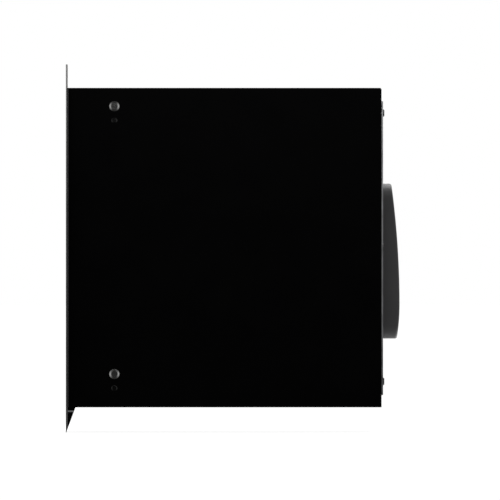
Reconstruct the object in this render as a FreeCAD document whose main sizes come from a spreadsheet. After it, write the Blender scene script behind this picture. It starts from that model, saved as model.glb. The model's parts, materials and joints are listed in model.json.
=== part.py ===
"""Built-in trash compactor: cabinet, drawer, screw-driven ram, motor drive, console and filter.

Millimetres. +X is the right side seen from the front, +Y the rear, +Z up. The origin is the centre of
the cabinet's underside. The front face looks along -Y.
"""
import FreeCAD, Part

import math
import os

import Sketcher

Vector = FreeCAD.Vector
Rotation = FreeCAD.Rotation
Placement = FreeCAD.Placement

doc = FreeCAD.newDocument("TrashCompactor")
sheet = doc.addObject("Spreadsheet::Sheet", "Sizes")


class Size(float):
    """A number that also carries the sheet formula it is worked out by."""

    def __new__(cls, value, formula):
        size = float.__new__(cls, value)
        size.formula = formula
        return size

    def __add__(self, other):
        return Size(float(self) + float(other), f"({self.formula} + {formula_of(other)})")

    def __radd__(self, other):
        return Size(float(other) + float(self), f"({formula_of(other)} + {self.formula})")

    def __sub__(self, other):
        return Size(float(self) - float(other), f"({self.formula} - {formula_of(other)})")

    def __rsub__(self, other):
        return Size(float(other) - float(self), f"({formula_of(other)} - {self.formula})")

    def __mul__(self, other):
        return Size(float(self) * float(other), f"({self.formula} * {formula_of(other)})")

    def __rmul__(self, other):
        return Size(float(other) * float(self), f"({formula_of(other)} * {self.formula})")

    def __truediv__(self, other):
        return Size(float(self) / float(other), f"({self.formula} / {formula_of(other)})")

    def __neg__(self):
        return Size(-float(self), f"(0 - {self.formula})")


def formula_of(value):
    """The sheet formula of a Size, or the plain number as text."""
    return value.formula if isinstance(value, Size) else f"{float(value):.9g}"


# ---------------------------------------------------------------- driving dimensions
DRIVING = {
    "body_width": 380,
    "body_depth": 565,
    "body_height": 575,
    "sheet_steel": 1,
    "corner_bend": 3.5,
    "flange_width": 15,
    "frame_width": 450,
    "frame_drop": 45,
    "frame_rise": 42,
    "frame_depth": 3.3,
    "frame_skin": 1.2,
    "frame_sheet": 1.8,
    "seal_thick": 2.8,
    "opening_width": 340,
    "opening_bottom": 8,
    "opening_top": 567,
    "front_gap": 2.5,
    "front_split": 458,
    "deflector_depth": 14,
    "lip_tip": 0.8,
    "base_floor": 1.5,
    "base_wall": 30,
    "foot_hole_dia": 7,
    "foot_hole_pitch_across": 300,
    "foot_hole_pitch_deep": 460,
    "side_screw_setback": 84,
    "side_screw_low": 60,
    "side_screw_high": 542,
    "small_screw_drop": 25.5,
    "rear_panel_low": 22,
    "rear_panel_high": 551,
    "rear_panel_width": 374,
    "rear_panel_proud": 2.8,
    "rear_screw_low": 46.5,
    "rear_screw_high": 530,
    "cover_low": 123.5,
    "cover_high": 403,
    "cover_width": 260,
    "cover_corner": 26,
    "cover_rim": 3.5,
    "cover_top_depth": 15.7,
    "cover_deepest": 30.6,
    "cover_deepest_height": 185,
    "cover_bottom_depth": 25.6,
    "cover_wall": 2.5,
    "web_outside": 147.5,
    "web_thick": 2.5,
    "side_frame_front": -230,
    "side_frame_rear": 115,
    "side_frame_top": 552,
    "screw_across": 166,
    "screw_deep": -50,
    "thread_dia": 16,
    "journal_dia": 14,
    "fit_gap": 0.05,
    "sprocket_pitch_radius": 16.9,
    "sprocket_teeth": 11,
    "sprocket_low": 16.5,
    "sprocket_thick": 4.2,
    "chain_half_width": 4.1,
    "beam_depth": 40,
    "beam_height": 25,
    "beam_low": 526,
    "platen_low": 340,
    "platen_thick": 20,
    "platen_width": 254,
    "bin_width": 264,
    "bin_front": -262,
    "bin_rear": 151.5,
    "bin_low": 52,
    "bin_high": 332,
    "bin_rear_wall_high": 140,
    "bin_sheet": 1.5,
    "deck_top": 48,
    "slide_middle_height": 250,
    "slide_height": 40,
    "output_deep": 222,
    "gear_module": 1.25,
    "pinion_teeth": 18,
    "gear_teeth": 72,
    "mesh_play": 0.25,
    "gearbox_low": 86,
    "gearbox_high": 140,
    "gearbox_plate": 4,
    "motor_radius": 48,
    "motor_height": 150,
    "console_recess": 2,
    "console_thick": 4,
    "button_width": 33,
    "button_height": 15,
    "button_gap": 0.4,
    "control_height": 512,
    "key_radius": 9.6,
    "filter_width": 100,
    "filter_height": 68,
    "filter_middle": -87,
    "filter_depth": 130,
    "fan_middle": -80,
    "fan_height": 497,
    "fan_frame": 92,
    "fan_deep": 25,
}

size = {}
for row, (alias, number) in enumerate(DRIVING.items(), start=1):
    sheet.set(f"A{row}", alias)
    sheet.set(f"B{row}", str(number))
    sheet.setAlias(f"B{row}", alias)
    size[alias] = Size(number, f"Sizes.{alias}")
doc.recompute()

half_width = size["body_width"] / 2
half_depth = size["body_depth"] / 2
front = -half_depth
front_face = front - size["frame_depth"]
steel = size["sheet_steel"]
inside_half_width = half_width - steel
web_inside = size["web_outside"] - size["web_thick"]


# ---------------------------------------------------------------- drawing helpers
nodes = []


def node(item, name):
    """Give an object the name that its file has, and keep it for export."""
    item.Label = name
    nodes.append(item)
    return item


def bind(item, prop, value):
    """Set a property, and tie it to the sheet where the value comes from there."""
    if isinstance(value, Size):
        item.setExpression(prop, value.formula)
    else:
        setattr(item, prop, value)


def place(item, spot, rotation=Rotation()):
    """Place an object, each coordinate tied to the sheet where it comes from there."""
    item.Placement = Placement(Vector(*(float(value) for value in spot)), rotation)
    for letter, value in zip("xyz", spot):
        if isinstance(value, Size):
            item.setExpression(f"Placement.Base.{letter}", value.formula)


def box(across, deep, high):
    """A block between two values on each axis."""
    item = doc.addObject("Part::Box", "Block")
    for prop, (low, top) in zip(("Length", "Width", "Height"), (across, deep, high)):
        bind(item, prop, top - low)
    place(item, (across[0], deep[0], high[0]))
    return item


AXIS_TURN = {
    "X": Rotation(Vector(0, 1, 0), 90),
    "Y": Rotation(Vector(1, 0, 0), -90),
    "Z": Rotation(),
}


def rod(axis, spot, radius, length):
    """A cylinder that starts at a spot and runs along +X, +Y or +Z."""
    item = doc.addObject("Part::Cylinder", "Rod")
    bind(item, "Radius", radius)
    bind(item, "Height", length)
    place(item, spot, AXIS_TURN[axis])
    return item


def cone(axis, spot, first_radius, last_radius, length):
    """A cone that starts at a spot and runs along +X, +Y or +Z."""
    item = doc.addObject("Part::Cone", "Taper")
    bind(item, "Radius1", first_radius)
    bind(item, "Radius2", last_radius)
    bind(item, "Height", length)
    place(item, spot, AXIS_TURN[axis])
    return item


def turned_block(lengths, spot, turn, corner):
    """A block turned about a spot, its own low corner at an offset from the spot before the turn."""
    item = doc.addObject("Part::Box", "Block")
    for prop, value in zip(("Length", "Width", "Height"), lengths):
        bind(item, prop, value)
    reach = turn.multVec(corner)
    start = Vector(*(float(value) for value in spot)) + reach
    item.Placement = Placement(start, turn)
    for letter, value, shift in zip("xyz", spot, reach):
        if isinstance(value, Size):
            item.setExpression(f"Placement.Base.{letter}", (value + shift).formula)
    return item


def fuse(*items):
    """Several objects joined into one solid."""
    if len(items) == 1:
        return items[0]
    item = doc.addObject("Part::MultiFuse", "Joined")
    item.Shapes = list(items)
    return item


def cut(base, *tools):
    """An object with the tools taken out of it."""
    item = doc.addObject("Part::Cut", "Trimmed")
    item.Base = base
    item.Tool = fuse(*tools)
    return item


def group(*items):
    """Separate solids kept together in one piece list entry."""
    item = doc.addObject("Part::Compound", "Group")
    item.Links = list(items)
    return item


def new_body(name):
    return doc.addObject("PartDesign::Body", name)


PLANE_OF = {"X": "YZ_Plane", "Y": "XZ_Plane", "Z": "XY_Plane"}


def rectangle(left, right, low, high):
    return [(left, low), (right, low), (right, high), (left, high)]


def draw(body, axis, level, outlines):
    """A sketch across an axis, at a level on it.

    Each outline is a list of corners, or a middle and radius for a circle. An outline's coordinates are
    (y, z) across X, (x, z) across Y and (x, y) across Z.
    """
    sketch = body.newObject("Sketcher::SketchObject", "Outline")
    role = PLANE_OF[axis]
    plane = [item for item in body.Origin.OriginFeatures if item.Role == role][0]
    sketch.AttachmentSupport = [(plane, "")]
    sketch.MapMode = "FlatFace"
    offset = -level if axis == "Y" else level
    sketch.AttachmentOffset = Placement(Vector(0, 0, float(offset)), Rotation())
    if isinstance(offset, Size):
        sketch.setExpression("AttachmentOffset.Base.z", offset.formula)
    for outline in outlines:
        if isinstance(outline, tuple):
            draw_circle(sketch, *outline)
        else:
            draw_corners(sketch, outline)
    return sketch


def tie_point(sketch, geometry, vertex, spot):
    """Hold a sketch point at its coordinates, from the sheet where they come from there."""
    for kind, value in zip(("DistanceX", "DistanceY"), spot):
        if isinstance(value, Size):
            index = sketch.addConstraint(Sketcher.Constraint(kind, -1, 1, geometry, vertex, float(value)))
            sketch.setExpression(f"Constraints[{index}]", value.formula)


def draw_circle(sketch, middle, radius):
    circle = Part.Circle(Vector(float(middle[0]), float(middle[1]), 0), Vector(0, 0, 1), float(radius))
    index = sketch.addGeometry(circle, False)
    tie_point(sketch, index, 3, middle)
    if isinstance(radius, Size):
        held = sketch.addConstraint(Sketcher.Constraint("Radius", index, float(radius)))
        sketch.setExpression(f"Constraints[{held}]", radius.formula)


def draw_corners(sketch, corners):
    first = sketch.GeometryCount
    total = len(corners)
    for index, corner in enumerate(corners):
        following = corners[(index + 1) % total]
        start = Vector(float(corner[0]), float(corner[1]), 0)
        end = Vector(float(following[0]), float(following[1]), 0)
        sketch.addGeometry(Part.LineSegment(start, end), False)
    for index in range(total):
        after = first + (index + 1) % total
        sketch.addConstraint(Sketcher.Constraint("Coincident", first + index, 2, after, 1))
    for index, corner in enumerate(corners):
        tie_point(sketch, first + index, 1, corner)


def pad(body, axis, low, high, *outlines):
    """Add material between two levels on an axis."""
    feature = body.newObject("PartDesign::Pad", "Add")
    feature.Profile = draw(body, axis, high if axis == "Y" else low, outlines)
    bind(feature, "Length", high - low)
    return feature


def pocket(body, axis, low, high, *outlines):
    """Take material away between two levels on an axis."""
    doc.recompute()
    before = body.Shape.Volume
    feature = body.newObject("PartDesign::Pocket", "Remove")
    feature.Profile = draw(body, axis, high if axis == "Y" else low, outlines)
    feature.Reversed = True
    bind(feature, "Length", high - low)
    doc.recompute()
    if not body.Shape.Volume < before:
        raise RuntimeError(f"a pocket in {body.Name} removes nothing")
    return feature


def soften(body, radius, wanted):
    """Fillet the body's edges whose middle the test accepts."""
    doc.recompute()
    names = []
    for index, edge in enumerate(body.Tip.Shape.Edges, start=1):
        middle = edge.valueAt((edge.FirstParameter + edge.LastParameter) / 2)
        if wanted(edge, middle):
            names.append(f"Edge{index}")
    tip = body.Tip
    feature = body.newObject("PartDesign::Fillet", "Round")
    feature.Base = (tip, names)
    bind(feature, "Radius", radius)
    return feature


def runs_along(edge, axis):
    """Whether a straight edge runs along the named axis."""
    ends = [vertex.Point for vertex in edge.Vertexes]
    if len(ends) < 2:
        return False
    run = ends[1] - ends[0]
    return run.Length > 0 and abs(getattr(run, axis.lower())) > 0.999 * run.Length


def slots(count, pitch, first, width, low, high):
    """A row of upright rectangular openings."""
    rows = []
    for index in range(count):
        left = first + index * pitch
        rows.append(rectangle(left, left + width, low, high))
    return rows


# ---------------------------------------------------------------- cabinet
def base_pan():
    """Floor of the cabinet: a folded pan with a low front wall, fixing holes and cooling slots."""
    body = new_body("BasePan")
    front_wall_high = size["opening_bottom"]
    near = front + size["deflector_depth"]
    rear = half_depth - steel
    wall = size["frame_skin"]
    inside = inside_half_width - wall
    pad(body, "Z", 0, size["base_wall"], rectangle(-inside_half_width, inside_half_width, near, rear))
    pocket(body, "Z", size["base_floor"], size["base_wall"], rectangle(-inside, inside, near + wall, rear - wall))
    pocket(body, "Y", near, near + 2 * wall, rectangle(-inside, inside, front_wall_high, size["base_wall"]))
    across = size["foot_hole_pitch_across"] / 2
    deep = size["foot_hole_pitch_deep"] / 2
    radius = size["foot_hole_dia"] / 2
    holes = [((sx * across, sy * deep), radius) for sx in (-1, 1) for sy in (-1, 1)]
    pocket(body, "Z", 0, size["base_floor"], *holes)
    slot_count = 9
    slot_pitch = 14
    slot_width = 5
    slot_length = 60
    first_slot = -120
    slot_near = half_depth - 90
    cooling = slots(slot_count, slot_pitch, first_slot, slot_width, slot_near, slot_near + slot_length)
    pocket(body, "Z", 0, size["base_floor"], *cooling)
    return node(body, "base_pan")


def side_panel(name, side):
    """One side of the outer case, with folded front and rear flanges and its screw holes."""
    body = new_body(name.title().replace("_", ""))
    outer = side * half_width
    inner = side * inside_half_width
    low_x = min(inner, outer)
    high_x = max(inner, outer)
    high = size["body_height"]
    pad(body, "X", low_x, high_x, rectangle(front, half_depth, 0, high))
    soften(body, size["corner_bend"],
           lambda edge, mid: runs_along(edge, "X") and mid.y > float(half_depth) - 1 and mid.z > float(high) - 1)
    flange = side * (half_width - size["flange_width"])
    flange_low = min(flange, inner)
    flange_high = max(flange, inner)
    lift = size["base_wall"]
    pad(body, "Y", front, front + steel,
        rectangle(flange_low, flange_high, size["opening_bottom"], high - size["flange_width"]))
    pad(body, "Y", half_depth - steel, half_depth, rectangle(flange_low, flange_high, lift, high - lift))
    back = front + size["side_screw_setback"]
    drop = size["small_screw_drop"]
    screw_hole = 4.2
    small_hole = 2.1
    holes = []
    for level in (size["side_screw_low"], size["side_screw_high"]):
        holes.append(((back, level), screw_hole))
        holes.append(((back, level - drop), small_hole))
    pocket(body, "X", low_x, high_x, *holes)
    column = side * rear_screw_column()
    threads = [((column, level), REAR_SCREW_SHANK) for level in rear_screw_levels()]
    pocket(body, "Y", half_depth - steel, half_depth, *threads)
    return node(body, name)


def top_panel():
    """Top of the case, bent down at the rear, with side flanges folded inside the side panels."""
    body = new_body("TopPanel")
    high = size["body_height"]
    bend = size["corner_bend"]
    rear_drop = high - size["base_wall"]
    pad(body, "X", -inside_half_width, inside_half_width, rectangle(front, half_depth, rear_drop, high))
    soften(body, bend,
           lambda edge, mid: runs_along(edge, "X") and mid.y > float(half_depth) - 1 and mid.z > float(high) - 1)
    pocket(body, "X", -inside_half_width + steel, inside_half_width - steel,
           rectangle(front, half_depth - steel, rear_drop, high - steel))
    side_flange = high - size["flange_width"]
    pocket(body, "X", -inside_half_width, inside_half_width,
           rectangle(front, half_depth - bend, rear_drop, side_flange))
    return node(body, "top_panel")


def front_trim_frame():
    """Bright steel frame round the front: a folded rim outside the case, a flat seat against it.

    Its lowest edge is thinned from behind, in line with the slope of the air deflector.
    """
    body = new_body("FrontTrimFrame")
    outer = size["frame_width"] / 2
    opening = size["opening_width"] / 2
    low = -size["frame_drop"]
    high = size["body_height"] + size["frame_rise"]
    skin = size["frame_skin"]
    pad(body, "Y", front_face, front,
        rectangle(-outer, outer, low, high),
        rectangle(-opening, opening, size["opening_bottom"], size["opening_top"]))
    clearance = 2
    rest = half_width + clearance
    hollows = [
        rectangle(-outer + skin, -rest, low + skin, high - skin),
        rectangle(rest, outer - skin, low + skin, high - skin),
    ]
    pocket(body, "Y", front_face + skin, front, *hollows)
    pocket(body, "Y", front_face + skin, front,
           rectangle(-rest + skin, rest - skin, size["body_height"] + clearance, high - skin))
    pocket(body, "X", -outer, outer, [(front, -slope_meets_front()), (front_face + size["lip_tip"], low), (front, low)])
    for left, right in ((-outer, -rest), (rest, outer)):
        pocket(body, "Y", front_face + size["frame_sheet"], front, rectangle(left, right, 0, size["body_height"]))
    return node(body, "front_trim_frame")


def frame_seal():
    """Foam strips behind the upright sides of the trim frame, where it meets the cabinet."""
    beside_case = half_width + 2
    edge = size["frame_width"] / 2 - 0.2
    near = front_face + size["frame_sheet"]
    low = 0.5
    high = size["body_height"] - 0.5
    strips = [box(across, (near, near + size["seal_thick"]), (low, high))
              for across in ((-edge, -beside_case), (beside_case, edge))]
    return node(group(*strips), "frame_seal")


def slope_meets_front():
    """Depth below the case at which the deflector's slope reaches the plane of the case's front."""
    run = size["deflector_depth"] + size["frame_depth"] - size["lip_tip"]
    return size["frame_drop"] * size["deflector_depth"] / run


def bottom_deflector():
    """Hollow sloping air deflector under the front edge, with a lip that laps the base pan."""
    body = new_body("BottomDeflector")
    depth = size["deflector_depth"]
    drop = slope_meets_front()
    skin = size["frame_skin"]
    pad(body, "X", -inside_half_width, inside_half_width, [(front, 0), (front + depth, 0), (front, -drop)])
    pad(body, "X", -inside_half_width, inside_half_width,
        rectangle(front + depth - steel, front + depth, 0, size["opening_bottom"]))
    hollow_low = drop - 8 * skin
    pocket(body, "X", -inside_half_width + skin, inside_half_width - skin,
           [(front + skin, -skin), (front + depth - 2 * skin, -skin), (front + 1.5 * skin, -hollow_low),
            (front + skin, -hollow_low)])
    return node(body, "bottom_deflector")


def side_frame(name, side):
    """Load-bearing upright: web beside the bin, front flange and lip that takes the side screws."""
    body = new_body(name.title().replace("_", ""))
    low_x = min(side * web_inside, side * size["web_outside"])
    high_x = max(side * web_inside, side * size["web_outside"])
    near = size["side_frame_front"]
    far = size["side_frame_rear"]
    low = size["base_floor"]
    high = size["side_frame_top"]
    thick = size["web_thick"]
    pad(body, "X", low_x, high_x, rectangle(near, far, low, high))
    out_low = min(side * size["web_outside"], side * inside_half_width)
    out_high = max(side * size["web_outside"], side * inside_half_width)
    ear = 3 * size["flange_width"]
    for front_edge in (near, far - thick):
        pad(body, "Y", front_edge, front_edge + thick, rectangle(out_low, out_high, low, high))
    lip_low = min(side * (inside_half_width - thick), side * inside_half_width)
    lip_high = max(side * (inside_half_width - thick), side * inside_half_width)
    pad(body, "X", lip_low, lip_high, rectangle(near, near + ear, size["base_wall"], high))
    beam_play = 2
    beam_half = size["beam_depth"] / 2 + beam_play
    middle = size["screw_deep"]
    beam_bottom = size["bin_high"] + beam_play
    chain_notch_high = 30
    notch_half = 95
    pocket(body, "X", low_x, high_x,
           rectangle(middle - beam_half, middle + beam_half, beam_bottom, high))
    pocket(body, "X", low_x, high_x,
           rectangle(middle - notch_half / 2, middle + notch_half, low, chain_notch_high))
    bottom_step = size["base_wall"]
    trim_low = min(side * (inside_half_width - 2 * thick), side * inside_half_width)
    trim_high = max(side * (inside_half_width - 2 * thick), side * inside_half_width)
    pocket(body, "Z", low, bottom_step, rectangle(trim_low, trim_high, near, far))
    window = 70
    window_low = 320
    window_high = window_low + 2 * window
    margin = 20
    pocket(body, "X", low_x, high_x,
           rectangle(far - window - margin, far - margin, window_low, window_high),
           rectangle(near + margin, near + margin + window, window_low, window_high))
    back = front + size["side_screw_setback"]
    drop = size["small_screw_drop"]
    thread = 2.6
    small_thread = 1.6
    holes = []
    for level in (size["side_screw_low"], size["side_screw_high"]):
        holes.append(((back, level), thread))
        holes.append(((back, level - drop), small_thread))
    pocket(body, "X", lip_low, lip_high, *holes)
    return node(body, name)


def top_crossmember():
    """Channel that ties the two uprights together and holds the upper ends of the power screws."""
    body = new_body("TopCrossmember")
    low = size["side_frame_top"]
    high = size["body_height"] - 3
    middle = size["screw_deep"]
    half = 30
    wall = size["web_thick"]
    ends = inside_half_width - 2
    pad(body, "Z", low, high, rectangle(-ends, ends, middle - half, middle + half))
    pocket(body, "Z", low + wall, high,
           rectangle(-ends + wall, ends - wall, middle - half + wall, middle + half - wall))
    across = size["screw_across"]
    bush_radius = 11
    pocket(body, "Z", low, low + wall, ((-across, middle), bush_radius), ((across, middle), bush_radius))
    hole_pitch = 45
    hole_radius = 14
    lightening = [((step * hole_pitch, middle), hole_radius) for step in (-2, -1, 0, 1, 2)]
    pocket(body, "Z", low, low + wall, *lightening)
    return node(body, "top_crossmember")


def rear_panel():
    """Zinc-plated rear closing panel: a shallow folded tray with the drive opening and vents."""
    body = new_body("RearPanel")
    half = size["rear_panel_width"] / 2
    low = size["rear_panel_low"]
    high = size["rear_panel_high"]
    outside = half_depth + size["rear_panel_proud"]
    skin = size["frame_skin"]
    pad(body, "Y", half_depth, outside, rectangle(-half, half, low, high))
    seat = size["flange_width"]
    pocket(body, "Y", half_depth, outside - skin, rectangle(-half + seat, half - seat, low + seat, high - seat))
    opening_half = size["cover_width"] / 2 - 16
    pocket(body, "Y", half_depth, outside,
           rectangle(-opening_half, opening_half, size["cover_low"] + 12, size["cover_high"] - 14))
    vent_half = 36
    vent = slots(9, 9, size["fan_middle"] - 38.5, 4.5, size["fan_height"] - vent_half, size["fan_height"] + vent_half)
    low_vent = slots(14, 16, -106, 6, 62, 100)
    pocket(body, "Y", half_depth, outside, *vent)
    pocket(body, "Y", half_depth, outside, *low_vent)
    hole = 2.6
    column = rear_screw_column()
    holes = [((sx * column, level), hole) for sx in (-1, 1) for level in rear_screw_levels()]
    pocket(body, "Y", half_depth, outside, *holes)
    pocket(body, "Y", half_depth, outside, ((-half + CORD_INSET, CORD_LEVEL), CORD_HOLE))
    dimple_radius = 3.6
    dimple_high = 0.4
    pad(body, "Y", outside, outside + dimple_high, ((half - CORD_INSET, DIMPLE_LEVEL), dimple_radius))
    return node(body, "rear_panel")


REAR_SCREW_SHANK = 2.2
CORD_INSET = 40
CORD_LEVEL = 300
DIMPLE_LEVEL = 445
CORD_HOLE = 8


def rear_screw_column():
    """Distance of the rear screws from the middle."""
    return size["rear_panel_width"] / 2 - 6


def rear_screw_levels():
    low = size["rear_screw_low"]
    high = size["rear_screw_high"]
    return (low, (low + high) / 2, high)


def dome_profile(body, inset):
    """Side outline of the cover as a sketch across X: flat seat, two tangent crown arcs."""
    sketch = draw(body, "X", -size["cover_width"] / 2 + inset, [])
    seat = float(half_depth + size["rear_panel_proud"])
    low = float(size["cover_low"] + inset)
    high = float(size["cover_high"] - inset)
    peak_height = float(size["cover_deepest_height"])
    top = seat + float(size["cover_top_depth"] - inset)
    peak = seat + float(size["cover_deepest"] - inset)
    bottom = seat + float(size["cover_bottom_depth"] - inset)

    def crown(end_depth, end_height):
        """Arc from the deepest point, square to the depth there, to an end."""
        fall = peak - end_depth
        rise = end_height - peak_height
        radius = (rise * rise + fall * fall) / (2 * fall)
        half_rise = rise / 2
        drop = radius - math.sqrt(radius * radius - half_rise * half_rise)
        return Vector(peak - drop, peak_height + half_rise, 0)

    base_low = Vector(seat, low, 0)
    base_high = Vector(seat, high, 0)
    end_high = Vector(top, high, 0)
    end_low = Vector(bottom, low, 0)
    deepest = Vector(peak, peak_height, 0)
    sketch.addGeometry(Part.LineSegment(base_low, base_high), False)
    sketch.addGeometry(Part.LineSegment(base_high, end_high), False)
    sketch.addGeometry(Part.Arc(end_high, crown(top, high), deepest), False)
    sketch.addGeometry(Part.Arc(deepest, crown(bottom, low), end_low), False)
    sketch.addGeometry(Part.LineSegment(end_low, base_low), False)
    return sketch


def dome(inset):
    """Solid of the cover's outside, or of its hollow where there is an inset."""
    body = new_body("Dome")
    half = size["cover_width"] / 2 - inset
    feature = body.newObject("PartDesign::Pad", "Add")
    feature.Profile = dome_profile(body, inset)
    bind(feature, "Length", 2 * half)
    corner = size["cover_corner"] - inset
    soften(body, corner, lambda edge, mid: runs_along(edge, "Y"))
    rim = size["cover_rim"] - inset
    seat = float(half_depth + size["rear_panel_proud"])
    soften(body, rim, lambda edge, mid: mid.y > seat + 6 and not runs_along(edge, "Y") and rim_edge(edge))
    return body


def rim_edge(edge):
    """Whether an edge lies on the cover's outer rim and not across its crown."""
    points = [edge.valueAt(edge.FirstParameter), edge.valueAt(edge.LastParameter)]
    half = float(size["cover_width"]) / 2
    across_crown = abs(points[0].z - points[1].z) < 0.01 and abs(points[0].x - points[1].x) > half
    at_peak = abs(points[0].z - float(size["cover_deepest_height"])) < 1
    return not (across_crown and at_peak)


def motor_cover():
    """Moulded cover over the drive opening, crowned and deeper towards the bottom."""
    outside = dome(Size(0, "0"))
    inside = dome(size["cover_wall"])
    return node(cut(outside, inside), "motor_cover")


def rear_liner():
    """Fixed wall behind the bin that keeps refuse out of the drive space."""
    body = new_body("RearLiner")
    near = size["bin_rear"] + 1.5
    low = size["deck_top"]
    high = size["bin_high"] + 10
    pad(body, "Y", near, near + steel, rectangle(-web_inside, web_inside, low, high))
    fold = 12
    pad(body, "Z", high - steel, high, rectangle(-web_inside, web_inside, near, near + fold))
    pad(body, "Z", low, low + steel, rectangle(-web_inside + 20, web_inside - 20, near, near + fold))
    return node(body, "rear_liner")


def compaction_deck():
    """Thick plate under the bin that takes the crushing load down to the base."""
    body = new_body("CompactionDeck")
    half = 134
    near = size["bin_front"] + 8
    far = size["bin_rear"]
    top = size["deck_top"]
    thick = 3
    floor = size["base_floor"]
    pad(body, "Z", floor, top, rectangle(-half, half, near, far))
    pocket(body, "Y", near, far, rectangle(-half + thick, half - thick, floor, top - thick))
    chain_high = 30
    middle = size["screw_deep"]
    tunnel_near = middle - 48
    tunnel_far = middle + 130
    pocket(body, "X", -half, half, rectangle(tunnel_near, tunnel_far, floor, chain_high))
    return node(body, "compaction_deck")


# ---------------------------------------------------------------- drawer
def bin_shell():
    """Folded steel bin with a low rear wall and a rim on its sides."""
    body = new_body("BinShell")
    half = size["bin_width"] / 2
    near = size["bin_front"]
    far = size["bin_rear"]
    low = size["bin_low"]
    high = size["bin_high"]
    wall = size["bin_sheet"]
    pad(body, "Z", low, high, rectangle(-half, half, near, far))
    pocket(body, "Z", low + wall, high, rectangle(-half + wall, half - wall, near + wall, far - wall))
    pocket(body, "Y", far - wall, far, rectangle(-half + wall, half - wall, size["bin_rear_wall_high"], high))
    rim = 7
    for left, right in ((-half - rim, -half), (half, half + rim)):
        pad(body, "Z", high - wall, high, rectangle(left, right, near, far))
    return node(body, "bin_shell")


def front_levels():
    """Lowest and highest level of the drawer front."""
    return size["opening_bottom"] + size["front_gap"], size["front_split"] - size["front_gap"] / 2


def pull_opening():
    """The finger pull's opening in the drawer front."""
    below_edge = 18
    half_width_of_pull = 110
    height = 34
    high = front_levels()[1] - below_edge
    return rectangle(-half_width_of_pull, half_width_of_pull, high - height, high)


def drawer_front_skin():
    """Brushed steel drawer face, folded back round its edge, with the finger pull's opening."""
    body = new_body("DrawerFrontSkin")
    low, high = front_levels()
    half = size["opening_width"] / 2 - size["front_gap"]
    skin = size["sheet_steel"]
    depth = 18
    pad(body, "Y", front_face, front_face + depth, rectangle(-half, half, low, high))
    soften(body, 2, lambda edge, mid: runs_along(edge, "Y"))
    pocket(body, "Y", front_face + skin, front_face + depth,
           rectangle(-half + skin, half - skin, low + skin, high - skin))
    pocket(body, "Y", front_face, front_face + skin, pull_opening())
    return node(body, "drawer_front_skin")


def drawer_front_liner():
    """Moulded inner panel of the drawer front, with the finger pull's recess and undercut lip."""
    body = new_body("DrawerFrontLiner")
    low, high = front_levels()
    skin = size["sheet_steel"]
    half = size["opening_width"] / 2 - size["front_gap"] - skin
    near = front_face + skin
    far = size["bin_front"]
    pad(body, "Y", near, far, rectangle(-half, half, low + skin, high - skin))
    recess = 16
    corners = pull_opening()
    pocket(body, "Y", near, near + recess, corners)
    lip = 5
    undercut = 9
    left, bottom = corners[0]
    right, top = corners[2]
    pocket(body, "Y", near + lip, near + recess, rectangle(left, right, top, top + undercut))
    relief = 4
    relief_low = size["bin_low"]
    relief_high = high - 60
    beside_bin = size["bin_width"] / 2 + 8
    border = half - 10
    pocket(body, "Y", far - relief, far,
           rectangle(-border, -beside_bin, relief_low, relief_high),
           rectangle(beside_bin, border, relief_low, relief_high))
    return node(body, "drawer_front_liner")


def bag_retainer():
    """Moulded three-sided rim on the bin with buttons that hold the bag's edge."""
    body = new_body("BagRetainer")
    half = size["bin_width"] / 2
    near = size["bin_front"]
    far = size["bin_rear"]
    high = size["bin_high"]
    thick = 3
    rim = 6
    pad(body, "Z", high, high + thick,
        [(-half - rim, near), (half + rim, near), (half + rim, far), (half, far), (half, near + rim),
         (-half, near + rim), (-half, far), (-half - rim, far)])
    knob = 2.6
    knob_high = 1.5
    spots = [((sx * (half + rim / 2), deep), knob) for sx in (-1, 1) for deep in (-220, -120, 20, 120)]
    pad(body, "Z", high + thick, high + thick + knob_high, *spots)
    return node(body, "bag_retainer")


def channel(side, web_near, web_far, lip_end, low, high, thick):
    """Corners of a C-shaped slide section across Y."""
    corners = [
        (web_near, low), (lip_end, low), (lip_end, low + thick), (web_far, low + thick),
        (web_far, high - thick), (lip_end, high - thick), (lip_end, high), (web_near, high),
    ]
    return [(side * across, level) for across, level in corners]


def slide_member(name, side, web_near, web_far, lip_end, half_height, thick, far):
    """One member of a three-part drawer slide."""
    body = new_body(name.title().replace("_", ""))
    middle = size["slide_middle_height"]
    section = channel(side, web_near, web_far, lip_end, middle - half_height, middle + half_height, thick)
    pad(body, "Y", size["bin_front"], far, section)
    return node(body, name)


def drawer_slides():
    """Fixed track, middle member and drawer rail on each side."""
    half = size["slide_height"] / 2
    thick = 1.6
    play = 1.0
    far = size["bin_rear"] - 1.5
    bin_side = size["bin_width"] / 2
    track_lip = web_inside - 8
    middle_web = web_inside - thick - 0.6
    for side, word in ((-1, "left"), (1, "right")):
        slide_member(f"{word}_slide_track", side, web_inside, web_inside - thick, track_lip, half, thick, far)
        slide_member(f"{word}_slide_middle", side, middle_web, middle_web - thick, bin_side + 3.2,
                     half - thick - play, thick, far - 10)
        slide_member(f"{word}_slide_rail", side, bin_side, bin_side + thick, middle_web - thick - 0.8,
                     half - 2 * thick - 2 * play, thick, far)


# ---------------------------------------------------------------- ram
def ram_crossbeam():
    """Box beam that joins the two nuts and carries the platen."""
    body = new_body("RamCrossbeam")
    half = size["beam_depth"] / 2
    middle = size["screw_deep"]
    low = size["beam_low"]
    high = low + size["beam_height"]
    ends = inside_half_width - 3
    wall = 3
    across = size["screw_across"]
    pad(body, "X", -ends, ends, rectangle(middle - half, middle + half, low, high))
    solid_end = 36
    pocket(body, "X", -ends + solid_end, ends - solid_end,
           rectangle(middle - half + wall, middle + half - wall, low + wall, high - wall))
    clear = size["thread_dia"] / 2 + 1.5
    pocket(body, "Z", low, high, ((-across, middle), clear), ((across, middle), clear))
    return node(body, "ram_crossbeam")


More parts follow.
